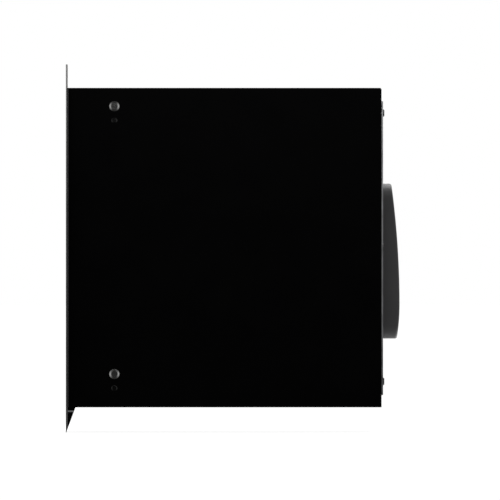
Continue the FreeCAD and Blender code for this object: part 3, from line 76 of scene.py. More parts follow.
# ---------------------------------------------------------------- node-tree helpers
class Shader:
    """A material's node tree with short ways to add what its surface needs."""

    def __init__(self, name, colour, metallic=0.0, roughness=0.5, specular=0.5):
        self.material = bpy.data.materials.new(name)
        self.material.use_nodes = True
        self.tree = self.material.node_tree
        self.surface = self.tree.nodes["Principled BSDF"]
        self.colour = (*colour, 1.0)
        self.surface.inputs["Base Color"].default_value = self.colour
        self.surface.inputs["Metallic"].default_value = metallic
        self.surface.inputs["Roughness"].default_value = roughness
        self.surface.inputs["Specular IOR Level"].default_value = specular
        self.height = None

    def add(self, kind, **values):
        item = self.tree.nodes.new(kind)
        for key, value in values.items():
            if key in item.inputs:
                item.inputs[key].default_value = value
            else:
                setattr(item, key.lower(), value)
        return item

    def link(self, output, socket):
        self.tree.links.new(output, socket)

    def coordinates(self, stretch=(1, 1, 1)):
        """Object coordinates, scaled on each axis."""
        source = self.add("ShaderNodeTexCoord")
        mapping = self.add("ShaderNodeMapping", Scale=stretch)
        self.link(source.outputs["Object"], mapping.inputs["Vector"])
        return mapping.outputs["Vector"]

    def noise(self, scale, detail=4.0, stretch=(1, 1, 1), roughness=0.5):
        item = self.add("ShaderNodeTexNoise", Scale=scale, Detail=detail, Roughness=roughness)
        self.link(self.coordinates(stretch), item.inputs["Vector"])
        return item.outputs["Fac"]

    def cells(self, scale, stretch=(1, 1, 1), output="Distance"):
        item = self.add("ShaderNodeTexVoronoi", Scale=scale)
        self.link(self.coordinates(stretch), item.inputs["Vector"])
        return item.outputs[output]

    def spread(self, value, low, high, from_low=0.3, from_high=0.7):
        """A texture value mapped to a range of roughness or of colour mix."""
        item = self.add("ShaderNodeMapRange")
        item.inputs["From Min"].default_value = from_low
        item.inputs["From Max"].default_value = from_high
        item.inputs["To Min"].default_value = low
        item.inputs["To Max"].default_value = high
        self.link(value, item.inputs["Value"])
        return item.outputs["Result"]

    def vary_roughness(self, value, low, high):
        self.link(self.spread(value, low, high), self.surface.inputs["Roughness"])

    def mix_colour(self, share, other):
        """Mix what the base colour is so far with another colour."""
        item = self.add("ShaderNodeMix", data_type="RGBA")
        base = self.surface.inputs["Base Color"]
        self.link(share, item.inputs[MIX_SHARE])
        item.inputs[MIX_FIRST].default_value = self.colour
        item.inputs[MIX_SECOND].default_value = (*other, 1.0)
        if base.links:
            self.link(base.links[0].from_socket, item.inputs[MIX_FIRST])
        self.link(item.outputs[MIX_RESULT], base)

    def vary_colour(self, value, other, low=0.0, high=1.0):
        """Another colour where a texture value is high."""
        self.mix_colour(self.spread(value, low, high), other)

    def bump(self, value, strength, distance):
        item = self.add("ShaderNodeBump")
        item.inputs["Strength"].default_value = strength
        item.inputs["Distance"].default_value = distance
        self.link(value, item.inputs["Height"])
        if self.height is not None:
            self.link(self.height, item.inputs["Normal"])
        self.height = item.outputs["Normal"]
        self.link(self.height, self.surface.inputs["Normal"])

    def edge_wear(self, other, low=0.52, high=0.62):
        """Lighter colour on convex edges, broken up by noise."""
        geometry = self.add("ShaderNodeNewGeometry")
        worn = self.spread(geometry.outputs["Pointiness"], 0.0, 1.0, low, high)
        broken = self.spread(self.noise(180, 3), 0.2, 1.0)
        product = self.add("ShaderNodeMath", operation="MULTIPLY")
        self.link(worn, product.inputs[0])
        self.link(broken, product.inputs[1])
        self.mix_colour(product.outputs[0], other)


def painted(name, colour, roughness=0.45, specular=0.5, peel=0.12):
    """Baked paint or powder coat: faint orange peel, uneven gloss."""
    shader = Shader(name, colour, roughness=roughness, specular=specular)
    shader.vary_roughness(shader.noise(14, 5), roughness - 0.07, roughness + 0.09)
    shader.bump(shader.noise(900, 2), peel, 0.0002)
    shader.vary_colour(shader.noise(9, 4), [value * 0.8 for value in colour], 0.0, 0.6)
    return shader


def brushed(name, colour, along, roughness=0.28):
    """Steel with a fine grain along one axis."""
    stretch = [1.0 if letter == along else 60.0 for letter in "XYZ"]
    shader = Shader(name, colour, metallic=1.0, roughness=roughness)
    grain = shader.noise(22, 6, stretch, 0.7)
    shader.vary_roughness(grain, roughness - 0.08, roughness + 0.14)
    shader.vary_colour(grain, [value * 0.86 for value in colour], 0.0, 0.7)
    shader.bump(grain, 0.05, 0.0001)
    shader.vary_colour(shader.noise(7, 3), [value * 0.93 for value in colour], 0.0, 0.8)
    return shader


def zinc(name, colour, roughness=0.42):
    """Zinc-plated sheet with faint spangle."""
    shader = Shader(name, colour, metallic=1.0, roughness=roughness)
    shader.vary_colour(shader.cells(95, output="Color"), [value * 0.82 for value in colour], 0.0, 0.6)
    shader.vary_roughness(shader.noise(40, 5), roughness - 0.1, roughness + 0.12)
    shader.bump(shader.noise(300, 3), 0.05, 0.0001)
    return shader


def moulded(name, colour, roughness=0.5, grain=0.25, specular=0.5):
    """Moulded plastic with a fine sparked grain."""
    shader = Shader(name, colour, roughness=roughness, specular=specular)
    shader.bump(shader.cells(1400), grain, 0.00012)
    shader.bump(shader.noise(500, 3), grain * 0.5, 0.00015)
    shader.vary_roughness(shader.noise(25, 4), roughness - 0.06, roughness + 0.08)
    shader.vary_colour(shader.noise(12, 3), [value * 0.85 for value in colour], 0.0, 0.6)
    return shader


def turned(name, colour, roughness=0.25):
    """Machined steel with fine tool marks and a trace of oil."""
    shader = Shader(name, colour, metallic=1.0, roughness=roughness)
    marks = shader.noise(60, 4, (1, 1, 40), 0.6)
    shader.bump(marks, 0.12, 0.0001)
    shader.vary_roughness(shader.noise(45, 4), roughness - 0.06, roughness + 0.15)
    shader.vary_colour(shader.noise(30, 5), [value * 0.7 for value in colour], 0.0, 0.5)
    return shader


def plated(name, colour, roughness=0.16):
    """Bright-plated fastener: smooth, with a cloudy film."""
    shader = Shader(name, colour, metallic=1.0, roughness=roughness)
    shader.vary_roughness(shader.noise(240, 4), roughness - 0.03, roughness + 0.05)
    shader.vary_colour(shader.noise(160, 5), [value * 0.75 for value in colour], 0.0, 0.7)
    shader.bump(shader.noise(900, 3), 0.02, 0.00005)
    return shader


def cast(name, colour, roughness=0.6):
    """Painted sand casting: pitted and uneven, worn on its edges."""
    shader = Shader(name, colour, roughness=roughness)
    shader.bump(shader.noise(220, 6), 0.45, 0.0006)
    shader.bump(shader.noise(40, 4), 0.2, 0.001)
    shader.vary_roughness(shader.noise(60, 5), roughness - 0.12, roughness + 0.12)
    shader.vary_colour(shader.noise(18, 6), [value * 0.6 for value in colour], 0.0, 0.8)
    shader.edge_wear((0.3, 0.29, 0.28))
    return shader


def granular(name, colour):
    """Charcoal granules: lumpy cells of uneven tone."""
    shader = Shader(name, colour, roughness=0.85)
    shader.bump(shader.cells(420), 0.9, 0.0012)
    shader.vary_colour(shader.cells(420, output="Color"), (0.05, 0.05, 0.05), 0.0, 0.7)
    return shader


def circuit(name, colour):
    """Circuit board under solder mask, with paler tracks."""
    shader = Shader(name, colour, roughness=0.35)
    tracks = shader.add("ShaderNodeTexBrick", Scale=260.0)
    shader.link(shader.coordinates((1, 1, 1)), tracks.inputs["Vector"])
    shader.vary_colour(tracks.outputs["Fac"], (0.03, 0.2, 0.09), 0.0, 0.8)
    shader.bump(tracks.outputs["Fac"], 0.15, 0.0001)
    shader.vary_roughness(shader.noise(80, 3), 0.28, 0.45)
    return shader


CASE_BLACK = (0.0008, 0.0008, 0.00085)
materials = {
    "case_black": painted("case_black", CASE_BLACK, roughness=0.42, specular=0.02, peel=0.1),
    "trim_steel": brushed("trim_steel", (0.62, 0.62, 0.61), "Z"),
    "zinc_sheet": zinc("zinc_sheet", (0.56, 0.57, 0.58)),
    "frame_steel": painted("frame_steel", (0.14, 0.145, 0.15)),
    "bin_steel": painted("bin_steel", (0.42, 0.43, 0.43), roughness=0.35),
    "cover_plastic": moulded("cover_plastic", (0.028, 0.028, 0.029), roughness=0.62, grain=0.3),
    "console_plastic": moulded("console_plastic", (0.012, 0.012, 0.013), roughness=0.22, grain=0.06),
    "button_plastic": moulded("button_plastic", (0.30, 0.31, 0.32), roughness=0.42, grain=0.15),
    "liner_plastic": moulded("liner_plastic", (0.46, 0.46, 0.44), roughness=0.5, grain=0.3),
    "retainer_plastic": moulded("retainer_plastic", (0.03, 0.03, 0.032), roughness=0.45),
    "screw_steel": plated("screw_steel", (0.6, 0.6, 0.59)),
    "screw_black": plated("screw_black", (0.05, 0.05, 0.05), roughness=0.22),
    "machined_steel": turned("machined_steel", (0.5, 0.5, 0.49)),
    "bronze": turned("bronze", (0.55, 0.36, 0.16), roughness=0.32),
    "cast_plate": cast("cast_plate", (0.11, 0.115, 0.12)),
    "chain_steel": turned("chain_steel", (0.24, 0.23, 0.22), roughness=0.38),
    "motor_paint": painted("motor_paint", (0.03, 0.031, 0.034), roughness=0.38),
    "fan_plastic": moulded("fan_plastic", (0.02, 0.02, 0.022), roughness=0.4),
    "capacitor_can": brushed("capacitor_can", (0.72, 0.72, 0.72), "Z", roughness=0.3),
    "board_green": circuit("board_green", (0.01, 0.09, 0.035)),
    "charcoal": granular("charcoal", (0.014, 0.014, 0.014)),
    "bush_rubber": moulded("bush_rubber", (0.012, 0.012, 0.012), roughness=0.7, grain=0.2),
}

slot_of = {part["node"]: part["material_slot"] for part in frame["record"]["subparts"]}


def bevelled(item, width):
    """Round a piece's sharp edges so that they catch light."""
    modifier = item.modifiers.new("EdgeRound", "BEVEL")
    modifier.width = width
    modifier.segments = 2
    modifier.limit_method = "ANGLE"
    modifier.angle_limit = math.radians(50)
    modifier.harden_normals = False


EDGE_ROUNDS = {
    "drawer_front_skin": 0.8, "console_panel": 0.7, "filter_tray": 0.6,
    "left_side_panel": 0.6, "right_side_panel": 0.6, "top_panel": 0.6, "base_pan": 0.5, "rear_panel": 0.4,
    "rear_liner": 0.5, "bin_shell": 0.5, "bag_retainer": 0.8, "ram_platen": 1.0, "ram_crossbeam": 0.8,
    "gearbox_housing": 0.8, "drawer_front_liner": 0.8, "bottom_deflector": 0.4, "motor_case": 0.8,
    "start_button": 0.5, "stop_button": 0.5, "fan_button": 0.5,
}


def dress_cad_nodes():
    """Give every CAD node the material of its slot, and round the edges that catch light."""
    for name, item in nodes.items():
        item.data.materials.clear()
        item.data.materials.append(materials[slot_of[name]].material)
        if name in EDGE_ROUNDS:
            bevelled(item, EDGE_ROUNDS[name] * MM)


dress_cad_nodes()


# ---------------------------------------------------------------- mesh helpers
def block(mesh, low, high):
    """Box between two corners, in millimetres."""
    corners = [mesh.verts.new((x * MM, y * MM, z * MM))
               for x in (low[0], high[0]) for y in (low[1], high[1]) for z in (low[2], high[2])]
    for face in ((0, 1, 3, 2), (4, 6, 7, 5), (0, 4, 5, 1), (2, 3, 7, 6), (0, 2, 6, 4), (1, 5, 7, 3)):
        mesh.faces.new([corners[index] for index in face])


def on_axis(axis, first, second, along):
    """Point in metres from two coordinates across an axis and one along it, in millimetres."""
    order = {"X": (along, first, second), "Y": (first, along, second), "Z": (first, second, along)}[axis]
    return Vector(order) * MM


def prism(mesh, outline, axis, start, stop):
    """Outline across an axis, drawn out between two levels."""
    rings = [[mesh.verts.new(on_axis(axis, *point, level)) for point in outline] for level in (start, stop)]
    count = len(outline)
    mesh.faces.new(rings[0][::-1])
    mesh.faces.new(rings[1])
    for index in range(count):
        after = (index + 1) % count
        mesh.faces.new((rings[0][index], rings[0][after], rings[1][after], rings[1][index]))


def circle(centre, radius, count):
    """Points round a centre."""
    turns = [math.tau * index / count for index in range(count)]
    return [(centre[0] + radius * math.cos(turn), centre[1] + radius * math.sin(turn)) for turn in turns]


def lathe(mesh, profile, axis, centre, count=24):
    """Solid of revolution from (radius, level) pairs, closed by flat ends."""
    rings = [[mesh.verts.new(on_axis(axis, *point, level)) for point in circle(centre, radius, count)]
             for radius, level in profile]
    mesh.faces.new(rings[0][::-1])
    mesh.faces.new(rings[-1])
    for lower, upper in zip(rings, rings[1:]):
        for index in range(count):
            after = (index + 1) % count
            mesh.faces.new((lower[index], lower[after], upper[after], upper[index]))


def frame_ring(mesh, outer, inner, start, stop):
    """Rectangular ring across Y; outer and inner are (left, right, low, high)."""
    def corners(box):
        left, right, low, high = box
        return [(left, low), (right, low), (right, high), (left, high)]
    loops = [[mesh.verts.new(on_axis("Y", *point, level)) for point in corners(box)]
             for box, level in ((outer, start), (inner, start), (inner, stop), (outer, stop))]
    for first, second in zip(loops, loops[1:] + loops[:1]):
        for index in range(4):
            after = (index + 1) % 4
            mesh.faces.new((first[index], first[after], second[after], second[index]))


def piece(name, mesh, slot_name, body, replaced=(), sharp=40, rounding=0.0):
    """Finished mesh as a piece that rides on a body and takes its look from a slot."""
    bmesh.ops.recalc_face_normals(mesh, faces=mesh.faces)
    data = bpy.data.meshes.new(name)
    mesh.to_mesh(data)
    mesh.free()
    for polygon in data.polygons:
        polygon.use_smooth = True
    data.set_sharp_from_angle(angle=math.radians(sharp))
    data.materials.append(materials[slot_name].material)
    item = bpy.data.objects.new(name, data)
    bpy.context.scene.collection.objects.link(item)
    if rounding:
        bevelled(item, rounding * MM)
    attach(item, body)
    if replaced:
        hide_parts(*replaced)
    return item


def box_mm(node):
    """Lowest and highest corner of a CAD node, in millimetres."""
    return [[value / MM for value in corner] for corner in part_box(node)]


# ---------------------------------------------------------------- power screws
SCREW_LEAD = 8.0
SCREW_ROOT = 6.3
SCREW_CREST = 7.95
THREAD_LOW = 48.0
THREAD_HIGH = 544.0
THREAD_STEPS = 28


def thread(mesh, centre, low, high):
    """Right-hand trapezoidal ridge wound round a screw's core, closed at both ends."""
    flank = 1.0
    land = 2.7
    buried = SCREW_ROOT - 0.25
    width = 2 * flank + land
    profile = [(0.0, buried), (flank, SCREW_CREST), (flank + land, SCREW_CREST), (width, buried)]
    steps = round((high - low - width) / SCREW_LEAD * THREAD_STEPS)
    sections = []
    for step in range(steps + 1):
        angle = math.tau * step / THREAD_STEPS
        rise = low + SCREW_LEAD * step / THREAD_STEPS
        section = []
        for offset, radius in profile:
            across = centre[0] + radius * math.cos(angle)
            deep = centre[1] + radius * math.sin(angle)
            section.append(mesh.verts.new(on_axis("Z", across, deep, rise + offset)))
        sections.append(section)
    corners = len(profile)
    for here, after in zip(sections, sections[1:]):
        for side in range(corners):
            other = (side + 1) % corners
            mesh.faces.new((here[side], after[side], after[other], here[other]))
    mesh.faces.new(sections[0])
    mesh.faces.new(sections[-1][::-1])


def power_screws():
    """Threaded rods with turned journals, a thrust collar and a run-out groove at each end of the thread."""
    journal = 7.0
    collar = 12.0
    groove = 5.8
    head = 6.0
    bevel = 0.6
    collar_low, collar_high = 24.0, 29.0
    for side in ("left", "right"):
        name = f"{side}_power_screw"
        low, high = box_mm(name)
        foot, top = low[2], high[2]
        centre = ((low[0] + high[0]) / 2, (low[1] + high[1]) / 2)
        mesh = bmesh.new()
        thread(mesh, centre, THREAD_LOW, THREAD_HIGH)
        profile = [(journal - bevel, foot), (journal, foot + bevel),
                   (journal, collar_low), (collar - bevel, collar_low), (collar, collar_low + bevel),
                   (collar, collar_high - bevel), (collar - bevel, collar_high), (journal, collar_high),
                   (journal, THREAD_LOW - 4.5), (groove, THREAD_LOW - 3.5), (groove, THREAD_LOW - 1.0),
                   (SCREW_ROOT, THREAD_LOW), (SCREW_ROOT, THREAD_HIGH),
                   (groove - 0.2, THREAD_HIGH + 1.0), (groove - 0.2, THREAD_HIGH + 2.4),
                   (head, THREAD_HIGH + 3.0), (head, top - 0.8), (head - 0.8, top)]
        lathe(mesh, profile, "Z", centre, 32)
        piece(f"{side}_threaded_rod", mesh, "machined_steel", f"{side}_screw", [name], sharp=35)


power_screws()


# ---------------------------------------------------------------- drive chain
CHAIN_PITCH = 9.52
PITCH_RADIUS = 16.9
TEETH = 11
LINK_PLATE = 0.75
LINK_HALF = 2.85
LINK_WAIST = 0.72
BARREL_RADIUS = 2.45
PIN_RADIUS = 1.3


def wheel_spots():
    """Centres of the three chain wheels, anticlockwise from the front left."""
    spots = []
    for name in ("left_power_screw", "right_power_screw", "output_shaft"):
        low, high = box_mm(name)
        spots.append(Vector(((low[0] + high[0]) / 2, (low[1] + high[1]) / 2)))
    return spots


def roller_spots():
    """Roller centres: seated in the tooth gaps round each wheel, evenly spaced between wheels."""
    spots = wheel_spots()
    step = math.tau / TEETH
    seated = []
    for index, spot in enumerate(spots):
        into = spot - spots[index - 1]
        out = spots[(index + 1) % 3] - spot
        first = math.atan2(into.y, into.x) - math.pi / 2
        last = math.atan2(out.y, out.x) - math.pi / 2
        while last < first:
            last += math.tau
        low_gap = math.ceil((first - step / 2) / step)
        high_gap = math.floor((last + step / 2) / step)
        seated.append([spot + PITCH_RADIUS * Vector((math.cos(step * gap), math.sin(step * gap)))
                       for gap in range(low_gap, high_gap + 1)])
    rollers = []
    for index, group in enumerate(seated):
        rollers += group
        start, stop = group[-1], seated[(index + 1) % 3][0]
        links = round((stop - start).length / CHAIN_PITCH)
        is_last = index == 2
        if is_last and (len(rollers) + links - 1) % 2:
            links -= 1
        rollers += [start.lerp(stop, count / links) for count in range(1, links)]
    return rollers


def link_plate(mesh, start, stop, low):
    """Waisted side plate round two pins."""
    along = (stop - start).normalized()
    across = Vector((-along.y, along.x))
    outline = []
    for centre, turn in ((stop, -LINK_HALF), (start, LINK_HALF)):
        for degrees in (-75, -38, 0, 38, 75):
            angle = math.radians(degrees)
            outline.append(centre - turn * (math.cos(angle) * along + math.sin(angle) * across))
        outline.append((start + stop) / 2 - LINK_WAIST * turn * across)
    prism(mesh, [tuple(point) for point in outline], "Z", low, low + LINK_PLATE)


def roller_chain():
    """Roller chain of inner and outer links round the three wheels, with its rollers and riveted pins."""
    low, high = [corner[2] for corner in box_mm("drive_chain")]
    slit = 0.06
    step = LINK_PLATE + slit
    barrel = 2 * step + slit
    rollers = roller_spots()
    mesh = bmesh.new()
    for index, spot in enumerate(rollers):
        after = rollers[(index + 1) % len(rollers)]
        inset = slit + step * (index % 2)
        for start in (low + inset, high - inset - LINK_PLATE):
            link_plate(mesh, spot, after, start)
        centre = tuple(spot)
        profile = [(BARREL_RADIUS - 0.25, low + barrel), (BARREL_RADIUS, low + barrel + 0.3),
                   (BARREL_RADIUS, high - barrel - 0.3), (BARREL_RADIUS - 0.25, high - barrel)]
        lathe(mesh, profile, "Z", centre, 14)
        for near, far in ((low + barrel, low), (high - barrel, high)):
            shoulder = far + (near - far) * 0.1
            profile = [(PIN_RADIUS, near), (PIN_RADIUS, shoulder), (PIN_RADIUS - 0.4, far)]
            lathe(mesh, profile, "Z", centre, 10)
    piece("roller_chain", mesh, "chain_steel", "cabinet", ["drive_chain"], sharp=35)


roller_chain()


# ---------------------------------------------------------------- filter and console
def charcoal_granules():
    """Block of charcoal with a lumpy top and underside, a little inside the cartridge's outline."""
    low, high = box_mm("charcoal_cartridge")
    skin = 1.2
    steps = 36
    deep_steps = 48
    seeded = random.Random(7)
    wide = high[0] - low[0] - 2 * skin
    long = high[1] - low[1] - 2 * skin
    mesh = bmesh.new()
    layers = []
    for level in (low[2] + skin, high[2] - skin):
        grid = []
        for across in range(steps + 1):
            line = []
            for run in range(deep_steps + 1):
                inner = 0 < across < steps and 0 < run < deep_steps
                lump = seeded.uniform(-1.0, 1.0) if inner else 0.0
                spot = (low[0] + skin + wide * across / steps,
                        low[1] + skin + long * run / deep_steps,
                        level + lump)
                line.append(mesh.verts.new(Vector(spot) * MM))
            grid.append(line)
        layers.append(grid)
        for line, beside in zip(grid, grid[1:]):
            for run in range(deep_steps):
                mesh.faces.new((line[run], beside[run], beside[run + 1], line[run + 1]))
    rim = [(across, 0) for across in range(steps)]
    rim += [(steps, run) for run in range(deep_steps)]
    rim += [(across, deep_steps) for across in range(steps, 0, -1)]
    rim += [(0, run) for run in range(deep_steps, 0, -1)]
    bottom, top = [[grid[across][run] for across, run in rim] for grid in layers]
    for index in range(len(rim)):
        after = (index + 1) % len(rim)
        mesh.faces.new((bottom[index], bottom[after], top[after], top[index]))
    piece("charcoal_granules", mesh, "charcoal", "filter", ["charcoal_cartridge"], sharp=60)


def cartridge_cage():
    """Plastic cage of bars along the cartridge's edges, with ribs across its top and underside."""
    low, high = box_mm("charcoal_cartridge")
    bar = 4.0
    lap = 0.4
    ribs = 7
    rib_half = 0.9
    rib_tall = 1.6
    inside = (low[0] + bar - lap, high[0] - bar + lap)
    mesh = bmesh.new()
    for across in (low[0], high[0] - bar):
        for level in (low[2], high[2] - bar):
            block(mesh, (across, low[1], level), (across + bar, high[1], level + bar))
    for deep in (low[1] + lap, high[1] - bar - lap):
        for level in (low[2] + lap, high[2] - bar - lap):
            block(mesh, (inside[0], deep, level), (inside[1], deep + bar, level + bar))
        for across in (low[0] + lap, high[0] - bar - lap):
            block(mesh, (across, deep, low[2] + bar - lap), (across + bar, deep + bar, high[2] - bar + lap))
    for index in range(1, ribs):
        middle = low[1] + (high[1] - low[1]) * index / ribs
        near, far = middle - rib_half, middle + rib_half
        for level in (low[2] + 0.1, high[2] - 0.1 - rib_tall):
            block(mesh, (inside[0], near, level), (inside[1], far, level + rib_tall))
    piece("cartridge_cage", mesh, "retainer_plastic", "filter", rounding=0.4)


charcoal_granules()
cartridge_cage()


BUTTONS = ("start_button", "stop_button", "fan_button")
SIGN_LEVEL = 533.0
SIGN_HALF = 3.6
LAMP_OFFSET = 22
LAMP_LEVEL = 512.0


def button_middles():
    """Place of each button across the console."""
    middles = {}
    for name in BUTTONS:
        low, high = box_mm(name)
        middles[name] = (low[0] + high[0]) / 2
    return middles


def fan_blade(centre, turn):
    """Outline of one curved blade: points at a radius and an angle from the blade's own direction."""
    points = ((0.7, -0.9), (2.6, -0.5), (4.2, -0.1), (4.3, 0.35), (3.4, 0.6), (1.6, 0.5), (0.7, 0.9))
    return [(centre + radius * math.cos(turn + bend), SIGN_LEVEL + radius * math.sin(turn + bend))
            for radius, bend in points]


def lock_tick(centre, degrees):
    """Outline of a short line that points away from the key."""
    turn = math.radians(degrees)
    outward = Vector((math.cos(turn), math.sin(turn)))
    beside = Vector((-outward.y, outward.x)) * 0.45
    inner, outer = Vector(centre) + 12.5 * outward, Vector(centre) + 16.5 * outward
    return [tuple(corner) for corner in (inner - beside, outer - beside, outer + beside, inner + beside)]


def console_signs():
    """Generic printed signs: triangle, square and fan over the buttons, and two ticks round the key."""
    start, stop, fan = button_middles().values()
    low_edge, high_edge = SIGN_LEVEL - SIGN_HALF, SIGN_LEVEL + SIGN_HALF
    low, high = box_mm("key_switch")
    key = ((low[0] + high[0]) / 2, (low[2] + high[2]) / 2)
    triangle = [(start - SIGN_HALF, low_edge), (start + SIGN_HALF, SIGN_LEVEL),
                (start - SIGN_HALF, high_edge)]
    square = [(stop - SIGN_HALF, low_edge), (stop + SIGN_HALF, low_edge),
              (stop + SIGN_HALF, high_edge), (stop - SIGN_HALF, high_edge)]
    outlines = [triangle, square]
    outlines += [fan_blade(fan, math.radians(90 + 120 * blade)) for blade in range(3)]
    outlines += [lock_tick(key, degrees) for degrees in (90, 30)]
    face = box_mm("console_panel")[0][1]
    ink = 0.12
    mesh = bmesh.new()
    for outline in outlines:
        prism(mesh, outline, "Y", face - ink, face + ink)
    piece("console_signs", mesh, "button_plastic", "cabinet")


def console_lamps():
    """Domed lens beside two of the buttons, in a raised bright rim."""
    face = box_mm("console_panel")[0][1]
    middles = button_middles()
    lenses = bmesh.new()
    rims = bmesh.new()
    for name in ("start_button", "fan_button"):
        centre = (middles[name] + LAMP_OFFSET, LAMP_LEVEL)
        lens = [(1.6, face + 1.5), (1.6, face - 0.5), (1.2, face - 0.95), (0.6, face - 1.2)]
        rim = [(2.5, face + 0.3), (2.5, face - 0.35), (2.2, face - 0.6), (1.7, face - 0.6)]
        lathe(lenses, lens, "Y", centre, 18)
        lathe(rims, rim, "Y", centre, 24)
    piece("status_lamps", lenses, "board_green", "cabinet")
    piece("lamp_rims", rims, "screw_steel", "cabinet")


console_signs()
console_lamps()


# ---------------------------------------------------------------- seals, deflector strips with a painted highlight, and pressed ribs
def drawer_seal():
    """Soft bulb seal round the back of the drawer front."""
    back = box_mm("drawer_front_liner")[1][1]
    width = 7.0
    depth = 3.2
    left, right, low, high = outer = (-158.0, 158.0, 24.0, 436.0)
    inner = (left + width, right - width, low + width, high - width)
    mesh = bmesh.new()
    frame_ring(mesh, outer, inner, back, back + depth)
    piece("drawer_seal", mesh, "bush_rubber", "drawer", rounding=1.3)


def deflector_highlight_hems():
    """Thin strip at each end of the deflector, in bright zinc so that it paints a highlight line along that
    edge.
    """
    low, high = box_mm("bottom_deflector")
    sheet = 0.5
    near = low[1] + 0.4
    highlight_depth = 9.2
    highlight_low, highlight_high = -8.6, -5.4
    for name, end, way in (("left_deflector_highlight_hem", low[0], -1), ("right_deflector_highlight_hem", high[0], 1)):
        across = sorted((end, end + way * sheet))
        mesh = bmesh.new()
        # the bright zinc colour is a painted highlight along the deflector's end
        block(mesh, (across[0], near, highlight_low), (across[1], near + highlight_depth, highlight_high))
        piece(name, mesh, "zinc_sheet", "cabinet", rounding=0.15)


BIN_HALF = 132.0
BEAD_LEVELS = (84.0, 118.0, 152.0, 186.0)
BEAD_SECTION = ((-0.3, -6.0), (0.0, -5.0), (0.9, -3.4), (1.4, -1.4),
                (1.4, 1.4), (0.9, 3.4), (0.0, 5.0), (-0.3, 6.0))
BEAD_RUN = ((-238.0, 0.1), (-230.0, 0.7), (-222.0, 1.0), (122.0, 1.0), (130.0, 0.7), (138.0, 0.1))


def bead(mesh, way, level):
    """One bead on a side wall: its section fades out towards both ends of its run."""
    rings = []
    for deep, share in BEAD_RUN:
        ring = []
        for out, up in BEAD_SECTION:
            spot = (way * (BIN_HALF + 0.05 + out * share), deep, level + up * (0.35 + 0.65 * share))
            ring.append(mesh.verts.new(Vector(spot) * MM))
        rings.append(ring)
    count = len(BEAD_SECTION)
    for first, second in zip(rings, rings[1:]):
        for index in range(count):
            after = (index + 1) % count
            mesh.faces.new((first[index], first[after], second[after], second[index]))
    mesh.faces.new(rings[0])
    mesh.faces.new(rings[-1][::-1])


def bin_beads():
    """Pressed beads that stiffen the bin's side walls."""
    for name, way in (("left_bin_beads", -1), ("right_bin_beads", 1)):
        mesh = bmesh.new()
        for level in BEAD_LEVELS:
            bead(mesh, way, level)
        piece(name, mesh, "bin_steel", "drawer", sharp=60)


drawer_seal()
deflector_highlight_hems()
bin_beads()


# ---------------------------------------------------------------- control board parts
TRANSFORMER_DEPTH = 20.4


def board_face():
    """Lowest corner of the control board, with the depth of its rear face, where the parts stand."""
    low, high = box_mm("control_board")
    return low[0], high[1] - TRANSFORMER_DEPTH, low[2]


def board_relays():
    """Two relays and two plugs: left edge, lower edge, width, height and depth of each."""
    left, back, bottom = board_face()
    mesh = bmesh.new()
    for across, level, wide, tall, deep in ((8, 10, 19, 15, 9), (8, 30, 19, 15, 9),
                                            (60, 48, 12, 5, 3), (124, 28, 9, 26, 8)):
        near = (left + across, back, bottom + level)
        block(mesh, near, (near[0] + wide, back + deep, near[2] + tall))
    piece("board_relays", mesh, "retainer_plastic", "cabinet", rounding=0.5)


def board_capacitors():
    """Round cans with the groove near their foot: middle, level, radius and length of each."""
    left, back, bottom = board_face()
    mesh = bmesh.new()
    for across, level, radius, tall in ((38, 46, 5.0, 9.5), (52, 46, 5.0, 9.5), (81, 52, 3.2, 8.0)):
        profile = [(radius - 0.4, back), (radius, back + 0.5), (radius, back + 1.4),
                   (radius - 0.5, back + 1.8), (radius, back + 2.2),
                   (radius, back + tall - 0.5), (radius - 0.6, back + tall)]
        lathe(mesh, profile, "Y", (left + across, bottom + level), 24)
    piece("board_capacitors", mesh, "capacitor_can", "cabinet")


def board_transformer():
    """Iron plates that stand a little proud of the transformer on the board."""
    left, back, bottom = board_face()
    proud = 0.5
    plate = 1
    pitch = 2
    left_edge, right_edge = left + 88 - proud, left + 118 + proud
    low_edge, high_edge = bottom + 10, bottom + 34
    mesh = bmesh.new()
    for layer in range(9):
        near = back + plate + pitch * layer
        block(mesh, (left_edge, near, low_edge), (right_edge, near + plate, high_edge))
    piece("board_transformer", mesh, "frame_steel", "cabinet")


board_relays()
board_capacitors()
board_transformer()


# ---------------------------------------------------------------- stage, camera and lights
FLOOR_ALBEDO = 0.14
FLOOR_GLOW = 0.93
FILL_NEAR = 0.03
FILL_BEHIND = 1.0
FILL_ABOVE = 0.05
FILL_BESIDE = 1.0
SUN_POWER = 1.6

# name, place, point aimed at, two side lengths in metres, watts
SOFTBOXES = [
    ("right_softbox", (1.7, 0.0, 1.2), (0.0, 0.0, 0.6), 1.6, 0.3, 12.0),
    ("left_softbox", (-1.7, 0.0, 1.2), (0.0, 0.0, 0.6), 1.6, 0.3, 12.0),
    ("overhead_softbox", (-0.35, 0.3, 1.4), (-0.35, 0.3, 0.0), 0.9, 1.2, 42.0),
    ("bounce_softbox", (-0.06, 0.44, -0.03), (-0.06, 0.44, 1.0), 0.44, 0.16, 1.2),
]
PHOTO_SPAN = 0.9
NEAR_SIDE = 0.19
VIEW_MIDDLE = (0.0457, 0.2832)
FRAME_PLANE = -0.27
LENS_DISTANCE = 40.0


def aimed(item, place, target):
    """Put a light or the camera at a place, looking at a target."""
    item.location = place
    item.rotation_euler = (Vector(target) - Vector(place)).to_track_quat("-Z", "Y").to_euler()
    bpy.context.scene.collection.objects.link(item)


